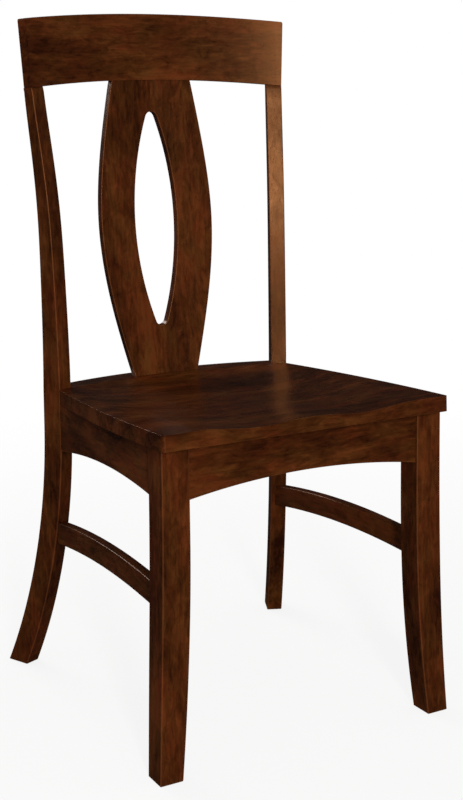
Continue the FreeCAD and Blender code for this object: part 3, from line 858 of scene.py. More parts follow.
@dataclass
class Finishes:
    """The materials that the pieces share, made once.

    The hidden corner blocks have a thinner coat, so they are duller.
    """

    wood: bpy.types.Material = field(default_factory=lambda: StainedMaple().material())
    block: bpy.types.Material = field(default_factory=lambda: StainedMaple(
        name="stained_block", roughness=0.55, coordinates=Coordinates.OBJECT).material())
    dowel: bpy.types.Material = field(default_factory=lambda: BareDowel().material())
    screw: bpy.types.Material = field(default_factory=lambda: ZincScrew().material())

    def dress(self, piece: bpy.types.Object, finish: bpy.types.Material) -> None:
        """Gives a piece one material."""
        piece.data.materials.clear()
        piece.data.materials.append(finish)

    def stained(self, piece: bpy.types.Object, *nodes: str) -> bpy.types.Object:
        """Finishes a visible wooden piece.

        Args:
            piece: the piece.
            nodes: the nodes that it stands for.

        Returns:
            The same piece, dressed, attached to the root body and with its nodes hidden.
        """
        self.dress(piece, self.wood)
        ride(piece, "stained_wood", *nodes)
        return piece


# The chair's sub-assemblies, in millimetres and radians


@dataclass
class Seat:
    """The scooped seat, its edges eased, on a slight slope to the back."""

    finishes: Finishes
    width: float = 447.4
    side_bow: float = 8.0
    front_inset: float = 0.15
    back_y: float = 478.0
    corner_radius: float = 5.0
    notch_overlap: float = 0.3
    ease: float = 2.5
    dip_depth: float = 5.0
    dip_span: float = 170.0
    crown_depth: float = 2.0
    crown_half_width: float = 150.0
    bowl_depth: float = 11.0
    bowl_half_width: float = 190.0
    bowl_start: float = 220.0
    scoop_rear_y: float = 434.0
    scoop_rear_radius: float = 600.0
    scoop_wall: float = 104.0
    pitch: float = 8.0
    side_count: int = 40
    corner_count: int = 6
    rim_count: int = 48
    seed: int = 21

    def rear_edge(self, x: float) -> float:
        """Where the scoop ends behind, as a Y."""
        return self.scoop_rear_y - self.scoop_rear_radius + math.sqrt(self.scoop_rear_radius ** 2 - x * x)

    def scoop(self, x: float, y: float) -> float:
        """How far the scoop lies below the flat top.

        In front it is a low crown between two dips, which is the wave that the front edge shows.
        Further back it is one wide bowl, and it climbs to the flat rim behind.

        Args:
            x: the place across the seat.
            y: the place behind its front edge.

        Returns:
            The depth, never less than 0.
        """
        front = self.crown_depth * (1 - (x / self.crown_half_width) ** 2)
        if abs(x) < self.dip_span:
            front += self.dip_depth * math.sin(math.pi * abs(x) / self.dip_span) ** 2
        bowl = self.bowl_depth * (1 - (x / self.bowl_half_width) ** 4)
        share = smooth_step(y / self.bowl_start)
        climb = max(0.0, (y - self.rear_edge(x) + self.scoop_wall) / self.scoop_wall)
        return max(0.0, front * (1 - share) + bowl * share) * max(0.0, 1 - climb ** 3)

    def notch_corner(self) -> Point2:
        """The right notch's inner front corner, a little inside the post."""
        return CHAIR.on_post(CHAIR.post_width - self.notch_overlap, self.notch_overlap)

    def outline(self) -> list[Point2]:
        """Draws the seat's plan, notched round the posts.

        Returns:
            The points, from the front right corner round to the front left one.
        """
        half = self.width / 2
        notch = [
            CHAIR.on_post(0.0, self.notch_overlap),
            self.notch_corner(),
            CHAIR.on_post(CHAIR.post_width - self.notch_overlap, CHAIR.post_seat_depth),
        ]
        middle = ((half + CHAIR.post_x) / 2 + self.side_bow, CHAIR.post_y / 2)
        side = arc_through((half, 0.0), middle, notch[0], self.side_count)
        front = self.front_inset
        # The side's fourth point gives its direction, and its points within the corner are left out
        corner = rounded((0.0, front), (half, front), side[3], self.corner_radius, self.corner_count)
        right = corner + [point for point in side if point[1] > self.corner_radius * 1.5] + notch[1:]
        left = [(-x, y) for x, y in reversed(right)]
        back = arc_through(notch[2], (0.0, self.back_y), (-notch[2][0], notch[2][1]), self.side_count)[1:-1]
        return right + back + left

    def square(self, middle: Vector) -> bool:
        """Whether an edge is in a notch, where it stays square."""
        return middle.y > CHAIR.post_y and abs(middle.x) > CHAIR.on_post(CHAIR.post_width, 0)[0] - TOUCH

    def bend(self, u: float, v: float, w: float) -> Vector:
        """Presses the scoop into the top and tilts the seat.

        Args:
            u: the place across the board.
            v: the place behind its front edge.
            w: the depth below its top.

        Returns:
            The place in the shared frame, in metres.
        """
        z = -w
        if w < CHAIR.seat_thick / 2:
            z -= self.scoop(u, v)
        cos, sin = math.cos(CHAIR.seat_slope), math.sin(CHAIR.seat_slope)
        return CHAIR.place(u, v * cos + z * sin, CHAIR.seat_height - v * sin + z * cos)

    def build(self) -> bpy.types.Object:
        """Makes the seat.

        Returns:
            The finished piece.
        """
        inner = self.notch_corner()
        crease = [(x, self.rear_edge(x)) for x in span(-inner[0], inner[0], self.rim_count)]
        crease[0], crease[-1] = (-inner[0], inner[1]), inner
        made = Blank(
            name="seat", outline=self.outline(), thickness=CHAIR.seat_thick, bend=self.bend, ease=self.ease,
            slices_u=steps(-self.width / 2, self.width / 2, self.pitch),
            slices_v=steps(0, self.back_y, self.pitch), square=self.square, crease=crease, seed=self.seed,
        ).build()
        boards = [f"seat_board_{number}" for number in range(1, 5)]
        return self.finishes.stained(made, *boards)


@dataclass
class RearPost:
    """One rear post, from the splayed foot to the crest rail."""

    finishes: Finishes
    side: Side
    sweep_top: float = 395.0
    back_start: float = 452.0
    top_setback: float = 39.0
    top_depth: float = 17.2
    top_lean: float = math.radians(6.0)
    back_curve: tuple[Point2, ...] = ((0.36, 0.118), (0.60, 0.308), (0.80, 0.640))
    ease: float = 1.4
    # The length under the crest rail with no slices, where the top follows the rail's arch
    bare_top: float = 16.0
    pitch: float = 30.0
    sweep_count: int = 24
    back_count: int = 28
    seed: int = 22

    def sweep(self, z: float) -> float:
        """How far the foot's sweep sets the front face back at a height."""
        radius = (self.sweep_top ** 2 + CHAIR.foot_setback ** 2) / (2 * CHAIR.foot_setback)
        return radius - math.sqrt(radius ** 2 - (self.sweep_top - z) ** 2)

    def front(self) -> list[Point2]:
        """Draws the front face in side view.

        Returns:
            Heights with their setbacks, from the floor to the crest rail.
        """
        low = [(z, self.sweep(z)) for z in span(0, self.sweep_top, self.sweep_count)]
        height = CHAIR.crest_bottom - self.back_start
        stations = [(self.back_start, 0.0)]
        for share, part in self.back_curve:
            stations.append((self.back_start + height * share, self.top_setback * part))
        stations.append((CHAIR.crest_bottom, self.top_setback))
        return low + Curve(tuple(stations), 0.0, math.tan(self.top_lean)).sampled(self.back_count)

    def depth(self, z: float) -> float:
        """The post's depth at a height, which tapers to both ends.

        Args:
            z: the height.

        Returns:
            The depth.
        """
        if z < self.back_start:
            gain = CHAIR.post_seat_depth - CHAIR.post_foot_depth
            return CHAIR.post_foot_depth + gain * z / self.back_start
        share = (z - self.back_start) / (CHAIR.crest_bottom - self.back_start)
        return CHAIR.post_seat_depth + (self.top_depth - CHAIR.post_seat_depth) * share

    def bend(self, u: float, v: float, w: float) -> Vector:
        """Turns the post and cuts its top to the crest rail's arch.

        Args:
            u: the setback.
            v: the height.
            w: the place inwards from the outer face.

        Returns:
            The place in the shared frame, in metres.
        """
        x, y = CHAIR.on_post(w, u)
        z = v
        if v > CHAIR.crest_bottom - TOUCH:
            z = CHAIR.crest_edge(x, CHAIR.crest_bottom)
        return CHAIR.place(x, y, z)

    def build(self) -> bpy.types.Object:
        """Makes the post.

        Returns:
            The finished piece.
        """
        name = self.side.of("rear_post")
        clear = CHAIR.crest_bottom - self.bare_top
        front = [(z, s) for z, s in self.front() if z < clear] + [self.front()[-1]]
        rear = [(z, s + self.depth(z)) for z, s in front]
        outline = [(s, z) for z, s in front] + [(s, z) for z, s in reversed(rear)]
        made = Blank(
            name=name, outline=outline, thickness=CHAIR.post_width,
            bend=mirrored(self.bend, self.side), ease=self.ease, grain=Grain.ALONG_V,
            slices_v=steps(0, clear, self.pitch), seed=self.seed + self.side.value,
            square=lambda middle: middle.y > CHAIR.crest_bottom - TOUCH,
        ).build()
        return self.finishes.stained(made, name)


@dataclass
class CrestRail:
    """The curved top rail, leaning back, with a crowned top and an arched lower edge."""

    finishes: Finishes
    height: float = 102.0
    thick: float = 17.5
    front_y: float = 474.0
    plan_radius: float = 575.0
    lean: float = math.radians(3.4)
    end_flare: float = math.radians(2.0)
    corner_radius: float = 3.0
    ease: float = 1.2
    # How far the crown has fallen at the ends of the lower and the upper edge
    low_fall: float = 11.0
    top_fall: float = 12.0
    pitch: float = 7.0
    edge_count: int = 30
    corner_count: int = 6
    seed: int = 25

    # The end's angle is guessed, and twelve rounds close in on it
    FIRST_ANGLE = 0.35
    ROUNDS = 12

    def spot(self, angle: float, z: float, w: float) -> Point2:
        """Finds a plan place on the rail.

        Args:
            angle: the angle round its curve, from the middle.
            z: the height.
            w: the depth behind its front face.

        Returns:
            X and Y.
        """
        radius = self.plan_radius + w
        lean = (z - CHAIR.crest_bottom) * math.tan(self.lean)
        return (radius * math.sin(angle), self.front_y - self.plan_radius + radius * math.cos(angle) + lean)

    def end_angle(self, z: float, w: float) -> float:
        """Finds where the rail meets the plane of the right post's outer face, which flares above it.

        Args:
            z: the height.
            w: the depth behind the front face.

        Returns:
            The angle round the rail's curve, closed in on from a first guess.
        """
        angle = self.FIRST_ANGLE
        for _ in range(self.ROUNDS):
            y = self.spot(angle, z, w)[1]
            x = CHAIR.post_x + (y - CHAIR.post_y) * math.tan(CHAIR.post_turn)
            x += (z - CHAIR.crest_bottom) * math.tan(self.end_flare) / math.cos(CHAIR.post_turn)
            angle = math.asin(x / (self.plan_radius + w))
        return angle

    def bend(self, u: float, v: float, w: float) -> Vector:
        """Curves the rail in plan and leans it back.

        Args:
            u: the place along the front face, from the middle.
            v: the height.
            w: the depth behind the front face.

        Returns:
            The place in the shared frame, in metres.
        """
        angle = u / self.plan_radius * self.end_angle(v, w) / self.end_angle(v, 0.0)
        x, y = self.spot(angle, v, w)
        front_x = self.plan_radius * math.sin(u / self.plan_radius)
        return CHAIR.place(x, y, v + CHAIR.crest_edge(x, 0.0) - CHAIR.crest_edge(front_x, 0.0))

    def edge(self, middle: float, fall: float) -> list[Point2]:
        """Draws a crowned edge from the middle to the right, in the flat drawing.

        Args:
            middle: its height in the middle.
            fall: how much lower it is at its end.

        Returns:
            The edge's points.
        """
        reach = self.plan_radius * self.end_angle(middle - fall, 0)
        places = []
        for u in span(0.0, reach, self.edge_count):
            x = self.plan_radius * math.sin(u / self.plan_radius)
            places.append((u, CHAIR.crest_edge(x, middle)))
        return places

    def build(self) -> bpy.types.Object:
        """Makes the rail.

        Returns:
            The finished piece.
        """
        low = self.edge(CHAIR.crest_bottom, self.low_fall)
        high = self.edge(CHAIR.crest_bottom + self.height, self.top_fall)
        over_post = low[-1][0] - CHAIR.post_width * math.cos(CHAIR.post_turn)
        corner = rounded(low[-1], high[-1], high[-3], self.corner_radius, self.corner_count)
        near_corner = high[-1][0] - self.corner_radius * 1.2
        right = low + corner + [point for point in reversed(high) if point[0] < near_corner]
        left = [(-u, v) for u, v in reversed(right[1:-1])]
        made = Blank(
            name="crest_rail", outline=right + left, thickness=self.thick, bend=self.bend, ease=self.ease,
            slices_u=steps(-low[-1][0], low[-1][0], self.pitch), seed=self.seed,
            square=lambda middle: abs(middle.x) > over_post and middle.y < CHAIR.crest_bottom,
        ).build()
        return self.finishes.stained(made, "crest_rail")


@dataclass
class SplatHalf:
    """One of the splat's two mirrored halves, mitred together above and below the opening."""

    finishes: Finishes
    side: Side
    thick: float = 14.0
    turn: float = math.radians(5.0)
    foot_y: float = 440.0
    top_y: float = 477.5
    bow: float = 6.3
    outline_stations: tuple[Point2, ...] = (
        (454.0, 55.5), (574.0, 83.9), (702.0, 96.9), (810.0, 87.4), (917.0, 68.2))
    eye_z: float = 698.5
    eye_half_width: float = 36.8
    eye_half_length: float = 169.0
    eye_radius: float = 497.0
    ease: float = 1.2
    tuck: float = 5.0
    # How near an edge is to the seam, the foot or the crest rail to stay square
    seam: float = 0.2
    foot_joint: float = 2.0
    crest_joint: float = 1.3
    pitch: float = 9.0
    side_count: int = 60
    tip_count: int = 20
    top_count: int = 10
    seed: int = 33
    seed_step: int = 6

    def bend(self, u: float, v: float, w: float) -> Vector:
        """Bows the half backwards and turns its outer edge forwards.

        Args:
            u: the place outwards from the seam.
            v: the height.
            w: the depth behind the front face.

        Returns:
            The place in the shared frame, in metres.
        """
        low = self.outline_stations[0][0]
        share = (v - low) / (CHAIR.crest_bottom - low)
        y = self.foot_y + (self.top_y - self.foot_y) * share + 4 * self.bow * share * (1 - share)
        return CHAIR.place(u, y - u * math.tan(self.turn) + w / math.cos(self.turn), v)

    def eye(self) -> list[Point2]:
        """Draws the opening's right side: a long arc with a small rounded tip at each end.

        Returns:
            The points, from the upper tip to the lower one.
        """
        centre_x = self.eye_radius - self.eye_half_width
        radius = (self.eye_radius ** 2 - centre_x ** 2 - self.eye_half_length ** 2) / (
            2 * (self.eye_radius - self.eye_half_length))
        end_z = self.eye_half_length - radius
        reach = math.hypot(centre_x, end_z)
        tangent = (centre_x / reach * radius, end_z + end_z / reach * radius)
        tip = arc_through((-tangent[0], tangent[1]), (0.0, self.eye_half_length), tangent, self.tip_count)
        tip = tip[self.tip_count // 2:-1]
        flank = arc_through(tangent, (self.eye_half_width, 0.0), (tangent[0], -tangent[1]), self.side_count)
        points = tip + flank + [(x, -z) for x, z in reversed(tip)]
        return [(x, self.eye_z + z) for x, z in points]

    def build(self) -> bpy.types.Object:
        """Makes the half.

        Returns:
            The finished piece.
        """
        name = self.side.of("splat")
        outer = [(half, z) for z, half in Curve(self.outline_stations).sampled(self.side_count)]
        widest = outer[-1][0]
        outer[-1] = (widest, CHAIR.crest_edge(widest, CHAIR.crest_bottom))
        foot = self.outline_stations[0][0] - self.tuck
        top = [(x, CHAIR.crest_edge(x, CHAIR.crest_bottom)) for x in span(widest, 0.0, self.top_count)[1:]]

        def square(middle: Vector) -> bool:
            """Whether an edge is in the seam, the seat or the crest rail's joint."""
            joint_z = CHAIR.crest_bottom - self.crest_joint
            return middle.x < self.seam or middle.y < foot + self.foot_joint or middle.y > joint_z

        made = Blank(
            name=name, outline=[(0.0, foot), (outer[0][0], foot)] + outer + top + self.eye(),
            thickness=self.thick, bend=mirrored(self.bend, self.side), ease=self.ease, grain=Grain.ALONG_V,
            slices_v=steps(foot, CHAIR.crest_bottom, self.pitch), square=square,
            seed=self.seed + self.seed_step * self.side.value,
        ).build()
        return self.finishes.stained(made, name)


@dataclass
class FrontLeg:
    """One front leg: straight and square above, with a foot that sweeps out and forwards."""

    finishes: Finishes
    side: Side
    outer_start: float = 415.0
    inner_start: float = 335.0
    side_start: float = 215.0
    foot_out: float = 13.3
    foot_forward: float = 5.0
    foot_width: float = 34.1
    foot_depth: float = 36.2
    ease: float = 1.5
    tuck: float = 1.0
    pitch: float = 12.0
    sweep_count: int = 30
    seed: int = 32

    def flare(self, z: float, start: float, shift: float) -> float:
        """How far an edge that starts to curve at one height has moved at another.

        Args:
            z: the height.
            start: the height at which the curve starts.
            shift: how far the edge has moved at the floor.

        Returns:
            The edge's move.
        """
        if z >= start:
            return 0.0
        radius = (start ** 2 + shift ** 2) / (2 * abs(shift))
        return math.copysign(radius - math.sqrt(radius ** 2 - (start - z) ** 2), shift)

    def bend(self, u: float, v: float, w: float) -> Vector:
        """Sets the depth that the side view gives at each height.

        Args:
            u: the place across the chair.
            v: the height.
            w: the depth behind the front face, in a leg that is straight.

        Returns:
            The place in the shared frame, in metres.
        """
        front = CHAIR.leg_front_y + self.flare(v, self.side_start, -self.foot_forward)
        rear_shift = self.foot_depth - CHAIR.leg_size - self.foot_forward
        rear = CHAIR.leg_front_y + CHAIR.leg_size + self.flare(v, self.side_start, rear_shift)
        return CHAIR.place(u, front + (rear - front) * w / CHAIR.leg_size, v)

    def build(self) -> bpy.types.Object:
        """Makes the leg.

        Returns:
            The finished piece.
        """
        name = self.side.of("front_leg")
        top = CHAIR.seat_underside(CHAIR.leg_front_y) + self.tuck
        heights = span(0.0, self.outer_start, self.sweep_count) + [top]
        inner_x = CHAIR.leg_outer_x - CHAIR.leg_size
        inner_shift = CHAIR.leg_size + self.foot_out - self.foot_width
        outer = [(CHAIR.leg_outer_x + self.flare(z, self.outer_start, self.foot_out), z) for z in heights]
        inner = [(inner_x + self.flare(z, self.inner_start, inner_shift), z) for z in heights]
        made = Blank(
            name=name, outline=outer + inner[::-1], thickness=CHAIR.leg_size,
            bend=mirrored(self.bend, self.side), ease=self.ease, grain=Grain.ALONG_V,
            slices_v=steps(0.0, top, self.pitch), square=lambda middle: middle.y > top - TOUCH,
            seed=self.seed + self.side.value,
        ).build()
        return self.finishes.stained(made, name)


@dataclass
class Apron:
    """A rail under the seat, with an arched lower edge.

    Its ends run a tuck into the legs, and its top an overlap into the seat.
    """

    finishes: Finishes
    name: str
    start: Point2
    end: Point2
    low_start: float
    low_end: float
    rise: float
    seed: int
    sign: int = 1
    thick: float = 19.0
    ease: float = 1.2
    tuck: float = 8.0
    seat_overlap: float = 1.5
    pitch: float = 40.0
    edge_count: int = 40

    def build(self) -> bpy.types.Object:
        """Makes the apron.

        Returns:
            The finished piece.
        """
        start, end = Vector(self.start), Vector(self.end)
        length = (end - start).length
        along = (end - start) / length
        across = Vector((along.y, -along.x))

        def low(u: float) -> float:
            """The lower edge's height, a straight line with an arch over it.

            Args:
                u: the place along the apron.

            Returns:
                The height.
            """
            share = u / length
            line = self.low_start + (self.low_end - self.low_start) * share
            return line + 4 * self.rise * share * (1 - share)

        def top(u: float) -> float:
            """The upper edge's height, just inside the seat."""
            return CHAIR.seat_underside((start + along * u).y) + self.seat_overlap

        def bend(u: float, v: float, w: float) -> Vector:
            """Stands the board on its line in plan."""
            plan = start + along * u - across * (w - self.thick / 2)
            return CHAIR.place(plan.x * self.sign, plan.y, v)

        def square(middle: Vector) -> bool:
            """Whether an edge is in a leg or in the seat."""
            in_leg = middle.x < TOUCH - self.tuck or middle.x > length + self.tuck - TOUCH
            return in_leg or middle.y > top(middle.x) - TOUCH

        ends = (-self.tuck, length + self.tuck)
        lower = [(u, low(u)) for u in span(*ends, self.edge_count)]
        upper = [(u, top(u)) for u in reversed(ends)]
        made = Blank(
            name=self.name, outline=lower + upper, thickness=self.thick, bend=bend, ease=self.ease,
            square=square, slices_u=steps(*ends, self.pitch), seed=self.seed,
        ).build()
        return self.finishes.stained(made, self.name)


@dataclass
class Aprons:
    """The four aprons that join the legs under the seat."""

    finishes: Finishes
    front_setback: float = 4.0
    front_low: float = 375.7
    front_rise: float = 15.5
    side_inset: float = 3.0
    post_inset: float = 1.0
    side_low_front: float = 378.0
    side_low_rear: float = 359.0
    side_rise: float = 12.6
    rear_y: float = 424.0
    rear_low: float = 366.0
    front_seed: int = 35
    side_seed: int = 37
    rear_seed: int = 40

    def build(self) -> list[bpy.types.Object]:
        """Makes all four.

        Returns:
            The finished pieces.
        """
        half_thick = Apron.thick / 2
        front_y = CHAIR.leg_front_y + self.front_setback + half_thick
        inner_x = CHAIR.leg_outer_x - CHAIR.leg_size
        rear_x = CHAIR.post_x - CHAIR.post_width * math.cos(CHAIR.post_turn)
        start = (CHAIR.leg_outer_x - self.side_inset - half_thick, CHAIR.leg_front_y + CHAIR.leg_size)
        end = CHAIR.on_post(self.post_inset + half_thick, 0.0)
        aprons = [Apron(self.finishes, "front_apron", (-inner_x, front_y), (inner_x, front_y),
                        self.front_low, self.front_low, self.front_rise, self.front_seed)]
        for side in Side:
            aprons.append(Apron(self.finishes, side.of("side_apron"), start, end, self.side_low_front,
                                self.side_low_rear, self.side_rise, self.side_seed + side.value, side.value))
        aprons.append(Apron(self.finishes, "rear_apron", (-rear_x, self.rear_y), (rear_x, self.rear_y),
                            self.rear_low, self.rear_low, 0.0, self.rear_seed))
        return [apron.build() for apron in aprons]


@dataclass
class Stretchers:
    """The two side stretchers, bent up in the middle, swept along an arc by Geometry Nodes."""

    finishes: Finishes
    thick: float = 15.0
    height: float = 33.0
    leg_inset: float = 6.0
    post_inset: float = 2.0
    low_front: float = 224.8
    low_rear: float = 210.8
    rise: float = 10.8
    ease: float = 1.6
    tuck: float = 6.0
    path_count: int = 64
    ease_faces: int = 4
    crisp: float = math.radians(40)
    grain_step: Point3 = (0.7, 0.4, 0.2)
    seed: int = 22

    def tree(self) -> bpy.types.NodeTree:
        """Sweeps a rounded rectangle along the arc through three points.

        Returns:
            The tree, which also stores each point's place in the wood as "grain".
        """
        tree, given = growth_tree("bent_rail", {
            "Start": "Vector", "Middle": "Vector", "End": "Vector", "Height": "Float", "Thickness": "Float",
            "Ease": "Float", "Grain Offset": "Vector", "Finish": "Material",
        })
        path = add_node(tree, "GeometryNodeCurveArc", {
            "Resolution": self.path_count, "Start": given["Start"], "Middle": given["Middle"],
            "End": given["End"],
        }, mode="POINTS")
        upright = add_node(tree, "GeometryNodeSetCurveNormal", {"Curve": path.outputs["Curve"]}, mode="Z_UP")
        section = add_node(tree, "GeometryNodeCurvePrimitiveQuadrilateral", {
            "Width": given["Thickness"], "Height": given["Height"],
        }, mode="RECTANGLE")
        soft = add_node(tree, "GeometryNodeFilletCurve", {
            "Curve": section.outputs["Curve"], "Count": self.ease_faces, "Radius": given["Ease"],
        }, mode="POLY")
        place = add_node(tree, "GeometryNodeInputPosition")
        noted = add_node(tree, "GeometryNodeCaptureAttribute", {"Geometry": soft.outputs["Curve"]})
        noted.capture_items.new("VECTOR", "Section")
        tree.links.new(place.outputs["Position"], noted.inputs["Section"])
        run = add_node(tree, "GeometryNodeSplineParameter")
        length = add_node(tree, "GeometryNodeCaptureAttribute", {"Geometry": upright.outputs["Curve"]})
        length.capture_items.new("FLOAT", "Along")
        tree.links.new(run.outputs["Length"], length.inputs["Along"])
        swept = add_node(tree, "GeometryNodeCurveToMesh", {
            "Curve": length.outputs["Geometry"], "Profile Curve": noted.outputs["Geometry"],
            "Fill Caps": True,
        })
        parts = add_node(tree, "ShaderNodeSeparateXYZ", {"Vector": noted.outputs["Section"]})
        joined = add_node(tree, "ShaderNodeCombineXYZ", {
            "X": length.outputs["Along"], "Y": parts.outputs["Y"], "Z": parts.outputs["X"],
        })
        moved = add_node(tree, "ShaderNodeVectorMath", {
            0: joined.outputs["Vector"], 1: given["Grain Offset"],
        }, operation="ADD")
        stored = add_node(tree, "GeometryNodeStoreNamedAttribute", {
            "Geometry": swept.outputs["Mesh"], "Name": "grain", "Value": moved.outputs["Vector"],
        }, data_type="FLOAT_VECTOR", domain="POINT")
        close_tree(tree, stored.outputs["Geometry"], given["Finish"])
        return tree

    def path(self) -> list[Point3]:
        """Finds three places on the right stretcher's middle line.

        Returns:
            Its front end, the top of its arc and its rear end, in the drawing.
        """
        half = self.height / 2
        mid_z = (self.low_front + self.low_rear + self.height) / 2
        setback = RearPost(self.finishes, Side.RIGHT).sweep(mid_z)
        front_x = CHAIR.leg_outer_x - self.leg_inset - self.thick / 2
        front = Vector((front_x, CHAIR.leg_front_y + CHAIR.leg_size))
        rear = Vector(CHAIR.on_post(self.post_inset + self.thick / 2, setback))
        along = (rear - front).normalized()
        front, rear = front - along * self.tuck, rear + along * self.tuck
        front_z, rear_z = self.low_front + half, self.low_rear + half
        middle = (*((front + rear) / 2), (front_z + rear_z) / 2 + self.rise)
        return [(*front, front_z), middle, (*rear, rear_z)]

    def build(self) -> list[bpy.types.Object]:
        """Makes both stretchers.

        Returns:
            The finished pieces.
        """
        tree = self.tree()
        made = []
        for side in Side:
            node = side.of("side_stretcher")
            piece = in_scene(node, bpy.data.meshes.new(node))
            spots = [CHAIR.place(x * side.value, y, z) for x, y, z in self.path()]
            grown(piece, tree, dict(zip(("Start", "Middle", "End"), spots)) | {
                "Height": self.height * MM, "Thickness": self.thick * MM, "Ease": self.ease * MM,
                "Grain Offset": Vector(self.grain_step) * (self.seed + side.value),
                "Finish": self.finishes.wood,
            })
            piece.data.shade_smooth()
            piece.data.set_sharp_from_angle(angle=self.crisp)
            ride(piece, "stained_wood", node)
            made.append(piece)
        return made


@dataclass
class Screws:
    """Pan-head screws with a square drive, set on their points by Geometry Nodes."""

    finishes: Finishes
    shank: float = 4.0
    # How wide the point's tip is, against the shank
    point_share: float = 0.25
    head_width: float = 8.0
    head: float = 2.6
    # The head's rings: their share of its radius, and their drop from its top
    dome: tuple[Point2, ...] = ((0.72, 0.0), (0.92, 0.3), (1.0, 0.9))
    drive: float = 2.4
    drive_depth: float = 1.6
    facets: int = 24
    crisp: float = math.radians(35)

    # Points of a solid's mesh that are closer than MERGE, in metres, are one. Points that lie this
    # share of a screw's largest reach from its axis, or further, are on the head's rim.
    MERGE = 1e-6
    RIM_SHARE = 0.98

    def template(self, length: float) -> bpy.types.Object:
        """Makes one screw, with its head's underside at the origin and its point along +Z.

        Args:
            length: the length under the head.

        Returns:
            The screw, linked to the scene.
        """
        work = bmesh.new()

        def ring(radius: float, z: float, squared: bool = False) -> list[bmesh.types.BMVert]:
            """Adds a ring of points.

            Args:
                radius: its radius, or half its side where it is square.
                z: its place along the screw.
                squared: whether it is square.

            Returns:
                The points.
            """
            points = []
            for index in range(self.facets):
                angle = math.tau * index / self.facets
                reach = radius
                if squared:
                    reach = radius / max(abs(math.cos(angle)), abs(math.sin(angle)))
                spot = (reach * math.cos(angle) * MM, reach * math.sin(angle) * MM, z * MM)
                points.append(work.verts.new(spot))
            return points

        half_drive, rim, core = self.drive / 2, self.head_width / 2, self.shank / 2
        rings = [ring(half_drive, self.drive_depth - self.head, True), ring(half_drive, -self.head, True)]
        rings += [ring(rim * share, drop - self.head) for share, drop in self.dome]
        rings += [ring(rim, 0.0), ring(core, 0.0), ring(core, length - core)]
        rings.append(ring(core * self.point_share, length))
        for near, far in zip(rings, rings[1:]):
            for index in range(self.facets):
                after = (index + 1) % self.facets
                work.faces.new((near[index], near[after], far[after], far[index]))
        work.faces.new(rings[0])
        work.faces.new(rings[-1])
        bmesh.ops.recalc_face_normals(work, faces=work.faces[:])
        mesh = bpy.data.meshes.new("screw_template")
        work.to_mesh(mesh)
        work.free()
        mesh.set_sharp_from_angle(angle=self.crisp)
        return in_scene("screw_template", mesh)

    def tree(self) -> bpy.types.NodeTree:
        """Sets the screw on each point, turned to the point's "way".

        Returns:
            The tree.
        """
        tree, given = growth_tree("set_screws", {
            "Geometry": "Geometry", "Screw": "Object", "Finish": "Material",
        })
        screw = add_node(tree, "GeometryNodeObjectInfo", {"Object": given["Screw"]})
        way = add_node(tree, "GeometryNodeInputNamedAttribute", {"Name": "way"}, data_type="FLOAT_VECTOR")
        turned = add_node(tree, "FunctionNodeAlignRotationToVector", {
            "Vector": way.outputs["Attribute"],
        }, axis="Z")
        placed = add_node(tree, "GeometryNodeInstanceOnPoints", {
            "Points": given["Geometry"], "Instance": screw.outputs["Geometry"],
            "Rotation": turned.outputs["Rotation"],
        })
        close_tree(tree, placed.outputs["Instances"], given["Finish"])
        return tree

    def loose_parts(self, node: str) -> list[np.ndarray]:
        """Splits a node's mesh into its separate solids.

        Args:
            node: the node.

        Returns:
            Each solid's points, in metres.
        """
        work = bmesh.new()
        work.from_mesh(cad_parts[node].data)
        bmesh.ops.remove_doubles(work, verts=work.verts[:], dist=self.MERGE)
        work.verts.ensure_lookup_table()
        groups, seen = [], set()
        for vert in work.verts:
            if vert.index in seen:
                continue
            group, todo = [], [vert]
            seen.add(vert.index)
            while todo:
                at = todo.pop()
                group.append(at.co.copy())
                for edge in at.link_edges:
                    other = edge.other_vert(at)
                    if other.index not in seen:
                        seen.add(other.index)
                        todo.append(other)
            groups.append(np.array(group))
        work.free()
        return groups

    def seats(self, node: str) -> tuple[list[Vector], list[Vector], float]:
        """Finds where a node's screws stand, from its solids.

        Args:
            node: the node that holds the screws.

        Returns:
            The point under each head, each screw's direction and the length under the head.
        """
        spots, ways, length = [], [], 0.0
        for places in self.loose_parts(node):
            middle = places.mean(axis=0)
            axis = np.linalg.svd(places - middle)[2][0]
            runs = (places - middle) @ axis
            off = np.linalg.norm((places - middle) - np.outer(runs, axis), axis=1)
            if off[runs > runs.mean()].max() > off[runs < runs.mean()].max():
                axis, runs = -axis, -runs
            start = middle + axis * (runs.min() + self.head * MM)
            centre = places[off > off.max() * self.RIM_SHARE].mean(axis=0)
            start = start + (centre - start) - axis * np.dot(centre - start, axis)
            spots.append(Vector(start))
            ways.append(Vector(axis))
            length = (runs.max() - runs.min()) / MM - self.head
        return spots, ways, length

    def build(self) -> list[bpy.types.Object]:
        """Makes the screws of both nodes.

        Returns:
            The finished pieces, one for each node.
        """
        tree = self.tree()
        made = []
        for node in ("corner_block_screws", "seat_screws"):
            spots, ways, length = self.seats(node)
            template = self.template(length)
            mesh = bpy.data.meshes.new(node)
            mesh.from_pydata(spots, [], [])
            layer = mesh.attributes.new("way", "FLOAT_VECTOR", "POINT")
            layer.data.foreach_set("vector", [value for way in ways for value in way])
            piece = in_scene(f"set_{node}", mesh)
            grown(piece, tree, {"Screw": template, "Finish": self.finishes.screw})
            bpy.data.objects.remove(template)
            ride(piece, "screw_steel", node)
            made.append(piece)
        return made


# The view


